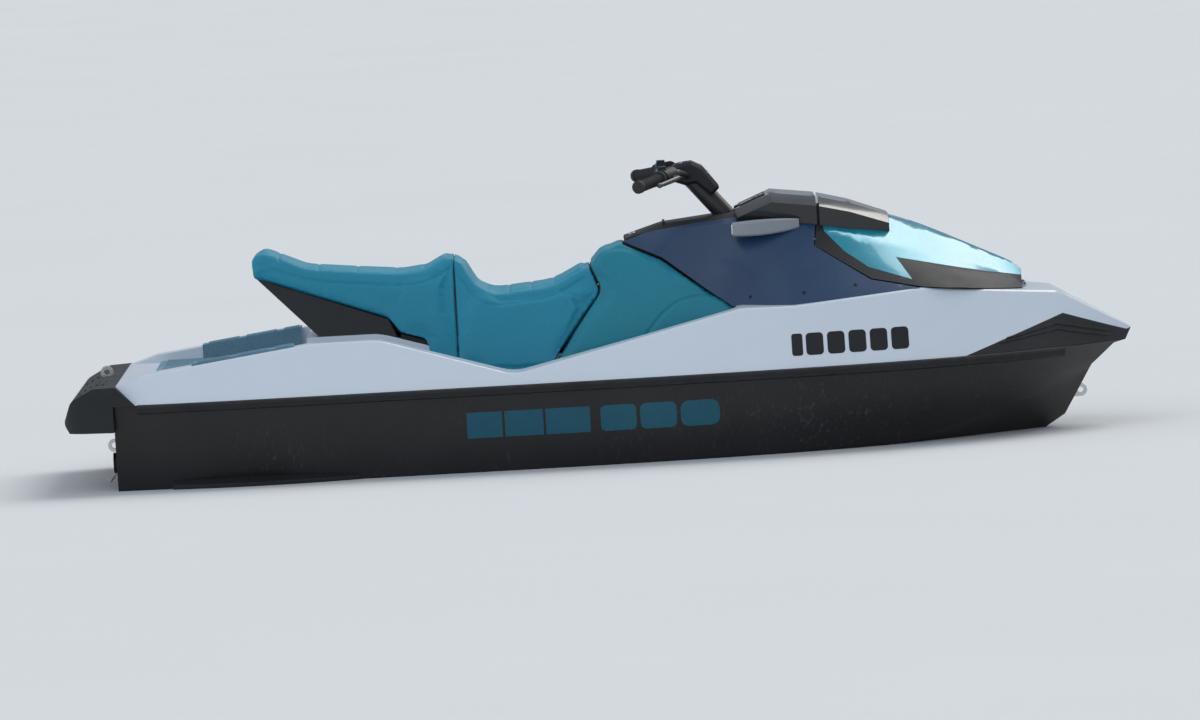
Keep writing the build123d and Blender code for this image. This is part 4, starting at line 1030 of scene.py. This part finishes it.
def make_controls():
    """Ribs of the grips, switches, the levers' tips, and the pad's screws and welt."""
    rings, buttons, lights, tips = Shape(), Shape(), Shape(), Shape()
    for side in (-1, 1):
        start, end = (bar_place(side, share) for share in GRIP_SHARES)
        way = (end - start).normalized()
        count = int((end - start).length / RING_PITCH)
        for i in range(count + 1):
            rings.turned(GRIP_RING, start + way * RING_PITCH * i, way, sides=28)
        pod = bar_place(side, POD_SHARE)
        for spot in SWITCHES:
            buttons.turned(KNOB, pod + Vector(spot), (-1, 0, 0))
        lights.turned(KNOB, pod + Vector(START_SWITCH), (-1, 0, 0))
        x, y, z = bar_place(side, LEVER_SHARE)
        tip = (x + LEVER_TIP[0], y + side * LEVER_TIP[1], z + LEVER_TIP[2])
        tips.turned(BALL, tip, bar_place(side, 1) - bar_place(side, 0), sides=18)
    rings.piece("grip_ribs", "grip_black", "steering")
    buttons.piece("switches", "mirror_grey", "steering", SWITCH_EDGE)
    lights.piece("start_switches", "seat_green", "steering", SWITCH_EDGE)
    tips.piece("lever_tips", "lever_metal", "steering")
    pad = skin_of("handlebar_pad")
    bolts("pad_screws", "steel", "steering", [from_top(pad, x, y) for x, y in PAD_SCREWS], PAD_SCREW)
    border = top_run(pad, PAD_BORDER, PAD_STEP)
    strip("pad_welt", "trim_black", "steering", border, ridge(0.0016, 0.0010, 0.0012))


# The dial's ticks: first one and pitch in degrees, inner ends of long and short ones, outer ends
TICK_START = -120
TICK_PITCH = 12
TICK_COUNT = 21
TICK_GROUP = 5  # every fifth is long
TICK_LONG = (0.021, 0.027)
TICK_SHORT = (0.024, 0.027)
TICK = ridge(0.0006, 0.0006, 0.0004, 0.0003)
# Bars beside the dial: rows across the craft, first one and pitch along it, lengths
BAR_ROWS = (-0.044, -0.037, 0.037, 0.044)
BAR_COUNT = 5
BAR_START = 0.022
BAR_PITCH = 0.011
BAR_LENGTHS = (0.006, 0.008)
BAR = ridge(0.0018, 0.0018, 0.0004, 0.0003)
NEEDLE_TIP = (0.012, -0.014)
BEZEL_SHARE = 0.95  # of the screen's width and length
BEZEL_STEP = 0.008


def make_gauge():
    """A bezel, a round dial with ticks and rows of plain bars on the screen."""
    skin = skin_of("gauge_display")
    low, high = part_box("gauge_display")
    middle_x = (low[0] + high[0]) / 2
    middle = Vector((middle_x, 0))
    rim = ((low[0], low[1], 0), (low[0], high[1], 0), (high[0], high[1], 0), (high[0], low[1], 0))
    spots = [middle + (p.xy - middle) * BEZEL_SHARE for p in resample([*rim, rim[0]], BEZEL_STEP)]
    bezel = [from_top(skin, spot.x, spot.y) for spot in spots]
    strip("gauge_bezel", "trim_black", "craft", bezel, ridge(0.0022, 0.0014, 0.0014))
    marks = Shape()
    for k in range(TICK_COUNT):
        turn = radians(TICK_START + TICK_PITCH * k)
        way = Vector((cos(turn), sin(turn)))
        reach = TICK_LONG if k % TICK_GROUP == 0 else TICK_SHORT
        marks.swept([from_top(skin, middle_x + way.x * r, way.y * r) for r in reach], TICK)
    for row, y in enumerate(BAR_ROWS):
        for k in range(BAR_COUNT):
            x = middle_x - BAR_START + BAR_PITCH * k
            marks.swept([from_top(skin, x, y), from_top(skin, x + BAR_LENGTHS[row % 2], y)], BAR)
    needle = [from_top(skin, middle_x, 0), from_top(skin, middle_x + NEEDLE_TIP[0], NEEDLE_TIP[1])]
    marks.swept(needle, ridge(0.0008, 0.0003, 0.0009, 0.0003))
    marks.piece("gauge_marks", "mirror_grey", "craft")


SPONSON_BOLTS = [(side, x, -0.012) for side in (-1, 1) for x in (-1.25, -1.12, -0.98, -0.84)]
PLATE_BOLTS = [(x, y) for x in (-1.50, -1.38, -1.27) for y in (-0.098, 0.0, 0.098)]
SPONSON_BOLT = 0.008  # radius, as below
PLATE_BOLT = 0.007
PUMP_BOLT = 0.0048
PUMP_X = -1.253
PUMP_Z = -0.115
PUMP_RING = 0.091
PUMP_BOLTS = 8
# On the transom, as y and z: bolts, and the lower starboard corners of the plates under them
EYE_Y = 0.330
EYE_BOLT = 0.0055
EXHAUST_BOLT = 0.0045
TRANSOM_EDGE = 0.0008
EYE_BOLTS = [(side * EYE_Y, z) for side in (-1, 1) for z in (0.155, 0.105)]
EYE_PLATE = dict(width=0.032, height=0.076, corner=0.012, thick=0.003)
EYE_PLATE_FOOT = (-0.016, 0.092)  # its y is counted from the eye
EXHAUST_PLATE = dict(width=0.090, height=0.090, corner=0.018, thick=0.004)
EXHAUST_PLATE_FOOT = (-0.305, 0.025)
EXHAUST_BOLTS = [(-0.260 + y, 0.070 + z) for y in (-0.038, 0.038) for z in (-0.038, 0.038)]
# Radius and height over the plug's radius; all but the top is six-sided
DRAIN_GRIP = ((1, -0.2), (1, 0.7), (0.85, 0.95), (0.3, 1.0))
DRAIN_PLACE = (-1.512, 0.170, -0.140)
DRAIN_RADIUS = 0.0085
DRAIN_EDGE = 0.0003


def make_underside():
    """Bolts of the sponsons, the ride plate and the pump."""
    sponsons, plate = skin_of("sponsons"), skin_of("ride_plate")
    spots = [from_side(sponsons, *spot) for spot in SPONSON_BOLTS]
    bolts("sponson_bolts", "steel", "craft", spots, SPONSON_BOLT)
    spots = [from_below(plate, *spot) for spot in PLATE_BOLTS]
    bolts("ride_plate_bolts", "steel", "craft", spots, PLATE_BOLT)
    flange = []
    for k in range(PUMP_BOLTS):
        turn = radians(360 / PUMP_BOLTS * (k + 0.5))
        spot = Vector((PUMP_X, PUMP_RING * cos(turn), PUMP_Z + PUMP_RING * sin(turn)))
        flange.append((spot, Vector((-1, 0, 0))))
    bolts("pump_bolts", "steel", "craft", flange, PUMP_BOLT)


def make_transom():
    """Plates and bolts of the tow eyes and the exhaust, and the drain plugs' grips."""
    hull = skin_of("hull")

    def plate_on(foot_y, foot_z, **size):
        plates.panel(lambda a, b: from_aft(hull, foot_y + a, foot_z + b), **size)

    plates = Shape()
    for side in (-1, 1):
        plate_on(side * EYE_Y + EYE_PLATE_FOOT[0], EYE_PLATE_FOOT[1], **EYE_PLATE)
    plate_on(*EXHAUST_PLATE_FOOT, **EXHAUST_PLATE)
    plates.piece("transom_plates", "rail_black", "craft", TRANSOM_EDGE)
    spots = [from_aft(hull, *spot) for spot in EYE_BOLTS]
    bolts("eye_bolts", "steel", "craft", spots, EYE_BOLT, EYE_PLATE["thick"])
    spots = [from_aft(hull, *spot) for spot in EXHAUST_BOLTS]
    bolts("exhaust_bolts", "steel", "craft", spots, EXHAUST_BOLT, EXHAUST_PLATE["thick"])
    grips = Shape()
    x, y, z = DRAIN_PLACE
    for side in (-1, 1):
        grips.turned(DRAIN_GRIP, (x, side * y, z), (-1, 0, 0), DRAIN_RADIUS, 18, (0, 1, 2))
    grips.piece("drain_grips", "rail_black", "craft", DRAIN_EDGE)


TREAD_ROWS = (-1.535, -1.553, -1.571, -1.589, -1.607)
TREAD_SPANS = ((-0.40, -0.06), (0.06, 0.40))
TREAD_STEP = 0.02
TREAD = ridge(0.0045, 0.003, 0.0026)
# The bow's two ribs, by their share of the bumper's height
BOW_SHARES = (0.36, 0.64)
BOW_STEP = 0.012
BOW_RIB = ridge(0.004, 0.0026, 0.0022)


def make_bumper_ribs():
    stern, bow = skin_of("stern_bumper"), skin_of("bow_bumper")
    tread = Shape()
    for x in TREAD_ROWS:
        for low, high in TREAD_SPANS:
            tread.swept(top_run(stern, ((x, low), (x, high)), TREAD_STEP), TREAD)
    tread.piece("stern_tread", "rail_black", "craft")
    lines = Shape()
    for side in (-1, 1):
        for share in BOW_SHARES:
            aft = (1.235, 0.300 + (share - 0.5) * 0.02)
            middle = (1.42, 0.300 + share * 0.06)
            fore = (1.585, 0.268 + share * 0.05)
            line = side_line(bow, (aft, middle, fore), side, BOW_STEP)
            if len(line) > 2:
                lines.swept(line, BOW_RIB)
    lines.piece("bow_bumper_ribs", "rail_black", "craft")


CAP_RIBS = 18
CAP_RIB_PLACE = 0.0298  # from the cap's axis
CAP_RIB_DROP = 0.018  # from its top
CAP_RIB_LENGTH = 0.0165
CAP_RIB = ridge(0.0026, 0.0016, 0.0016)
CAP_DISC = ((0.016, -0.001), (0.016, 0.0015), (0.0135, 0.0030), (0.004, 0.0034))
CAP_EDGE = 0.0006
CAP_BAR_HALF = 0.018
CAP_BAR_LIFT = 0.002
CAP_BAR = ridge(0.005, 0.0035, 0.006, 0.002)


def make_fuel_cap():
    low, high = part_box("fuel_cap")
    middle_x, top = (low[0] + high[0]) / 2, high[2]
    up = Vector((0, 0, 1))
    knurl = Shape()
    for k in range(CAP_RIBS):
        turn = radians(360 / CAP_RIBS * k)
        way = Vector((cos(turn), sin(turn), 0))
        foot = Vector((middle_x, 0, top - CAP_RIB_DROP)) + way * CAP_RIB_PLACE
        knurl.swept([(foot, way), (foot + up * CAP_RIB_LENGTH, way)], CAP_RIB)
    knurl.piece("fuel_cap_knurl", "rail_black", "craft")
    cap = Shape()
    cap.turned(CAP_DISC, (middle_x, 0, top), up, sides=24)
    ends = [Vector((middle_x + off, 0, top + CAP_BAR_LIFT)) for off in (-CAP_BAR_HALF, CAP_BAR_HALF)]
    cap.swept([(end, up) for end in ends], CAP_BAR)
    cap.piece("fuel_cap_grip", "rail_black", "craft", CAP_EDGE)


# Rows of radius and height
LOCK = (
    (0.012, -0.001), (0.012, 0.002), (0.0105, 0.0035), (0.0100, 0.0030), (0.0085, 0.0030), (0.0040, 0.0036),
)
LOCK_X = 0.122
LID_BORDER = ((0.118, 0.060), (0.206, 0.060), (0.206, -0.060), (0.118, -0.060))
LID_STEP = 0.008
SPINE_RUN = ((0.985, 0), (1.30, 0))
SPINE_STEP = 0.01
FAIRING_SCREW = 0.0058  # radius
SCREW_PLACES = ((0.475, 0.478), (0.640, 0.486), (0.800, 0.500))
FAIRING_SCREWS = [(side, x, z) for side in (-1, 1) for x, z in SCREW_PLACES]


def make_covers():
    """Lock and welt of the glovebox, spine of the hood and screws of the fairings."""
    lid, hood, fairing = skin_of("glovebox_lid"), skin_of("hood_cover"), skin_of("side_fairings")
    lock = Shape()
    lock.turned(LOCK, *from_top(lid, LOCK_X, 0), sides=28)
    lock.piece("glovebox_lock", "steel", "glovebox")
    border = top_run(lid, LID_BORDER, LID_STEP)
    strip("glovebox_welt", "trim_black", "glovebox", border, ridge(0.0018, 0.0012, 0.0014))
    spine = top_run(hood, SPINE_RUN, SPINE_STEP)
    strip("hood_spine", "hood_teal", "hood", spine, ridge(0.008, 0.004, 0.0022, 0.002))
    spots = [from_side(fairing, *spot) for spot in FAIRING_SCREWS]
    bolts("fairing_screws", "trim_black", "craft", spots, FAIRING_SCREW)


# Light: name, heading, height, strength, softness, colour
SUNS = (
    ("key", 42, 48, 1.9, 45, (1.0, 0.97, 0.92)),
    ("side", -112, 34, 0.80, 70, (0.92, 0.96, 1.0)),
    ("aft", -170, 30, 0.45, 80, (0.95, 0.97, 1.0)),
)
SKY_COLOR = (0.82, 0.90, 1.0, 1)
SKY_STRENGTH = 0.42
FLOOR_COLOR = (0.66, 0.68, 0.70)
FLOOR_REACH = 60


def sun(name, heading, height, strength, softness, color):
    """A wide soft lamp far off. Heading is in degrees from the bow towards port, height over the floor."""
    data = bpy.data.lights.new(name, "SUN")
    data.energy = strength
    data.angle = radians(softness)
    data.color = color
    lamp = bpy.data.objects.new(name, data)
    scene.collection.objects.link(lamp)
    turn, rise = radians(heading), radians(height)
    back = Vector((cos(rise) * cos(turn), cos(rise) * sin(turn), sin(rise)))
    lamp.rotation_mode = "QUATERNION"
    lamp.rotation_quaternion = back.to_track_quat("Z", "Y")


def make_studio():
    """A pale floor at the waterline and soft light, most of it from above and behind as in the picture."""
    mesh = bpy.data.meshes.new("floor")
    corners = [(x * FLOOR_REACH, y * FLOOR_REACH, 0) for x, y in ((-1, -1), (1, -1), (1, 1), (-1, 1))]
    mesh.from_pydata(corners, [], [(0, 1, 2, 3)])
    floor = linked("floor", mesh)
    paint = material("floor_paint", FLOOR_COLOR, 0.8, mottle=0.01, mottle_size=2.0, specular=0.2)
    mesh.materials.append(paint)
    world = bpy.data.worlds.new("world")
    world.use_nodes = True
    sky = world.node_tree.nodes["Background"]
    sky.inputs["Color"].default_value = SKY_COLOR
    sky.inputs["Strength"].default_value = SKY_STRENGTH
    scene.world = world
    for lamp in SUNS:
        sun(*lamp)


make_camera()
make_studio()
make_seat()
make_decals()
make_mats()
make_controls()
make_gauge()
make_underside()
make_transom()
make_bumper_ribs()
make_fuel_cap()
make_covers()
scene.view_settings.view_transform = "Standard"
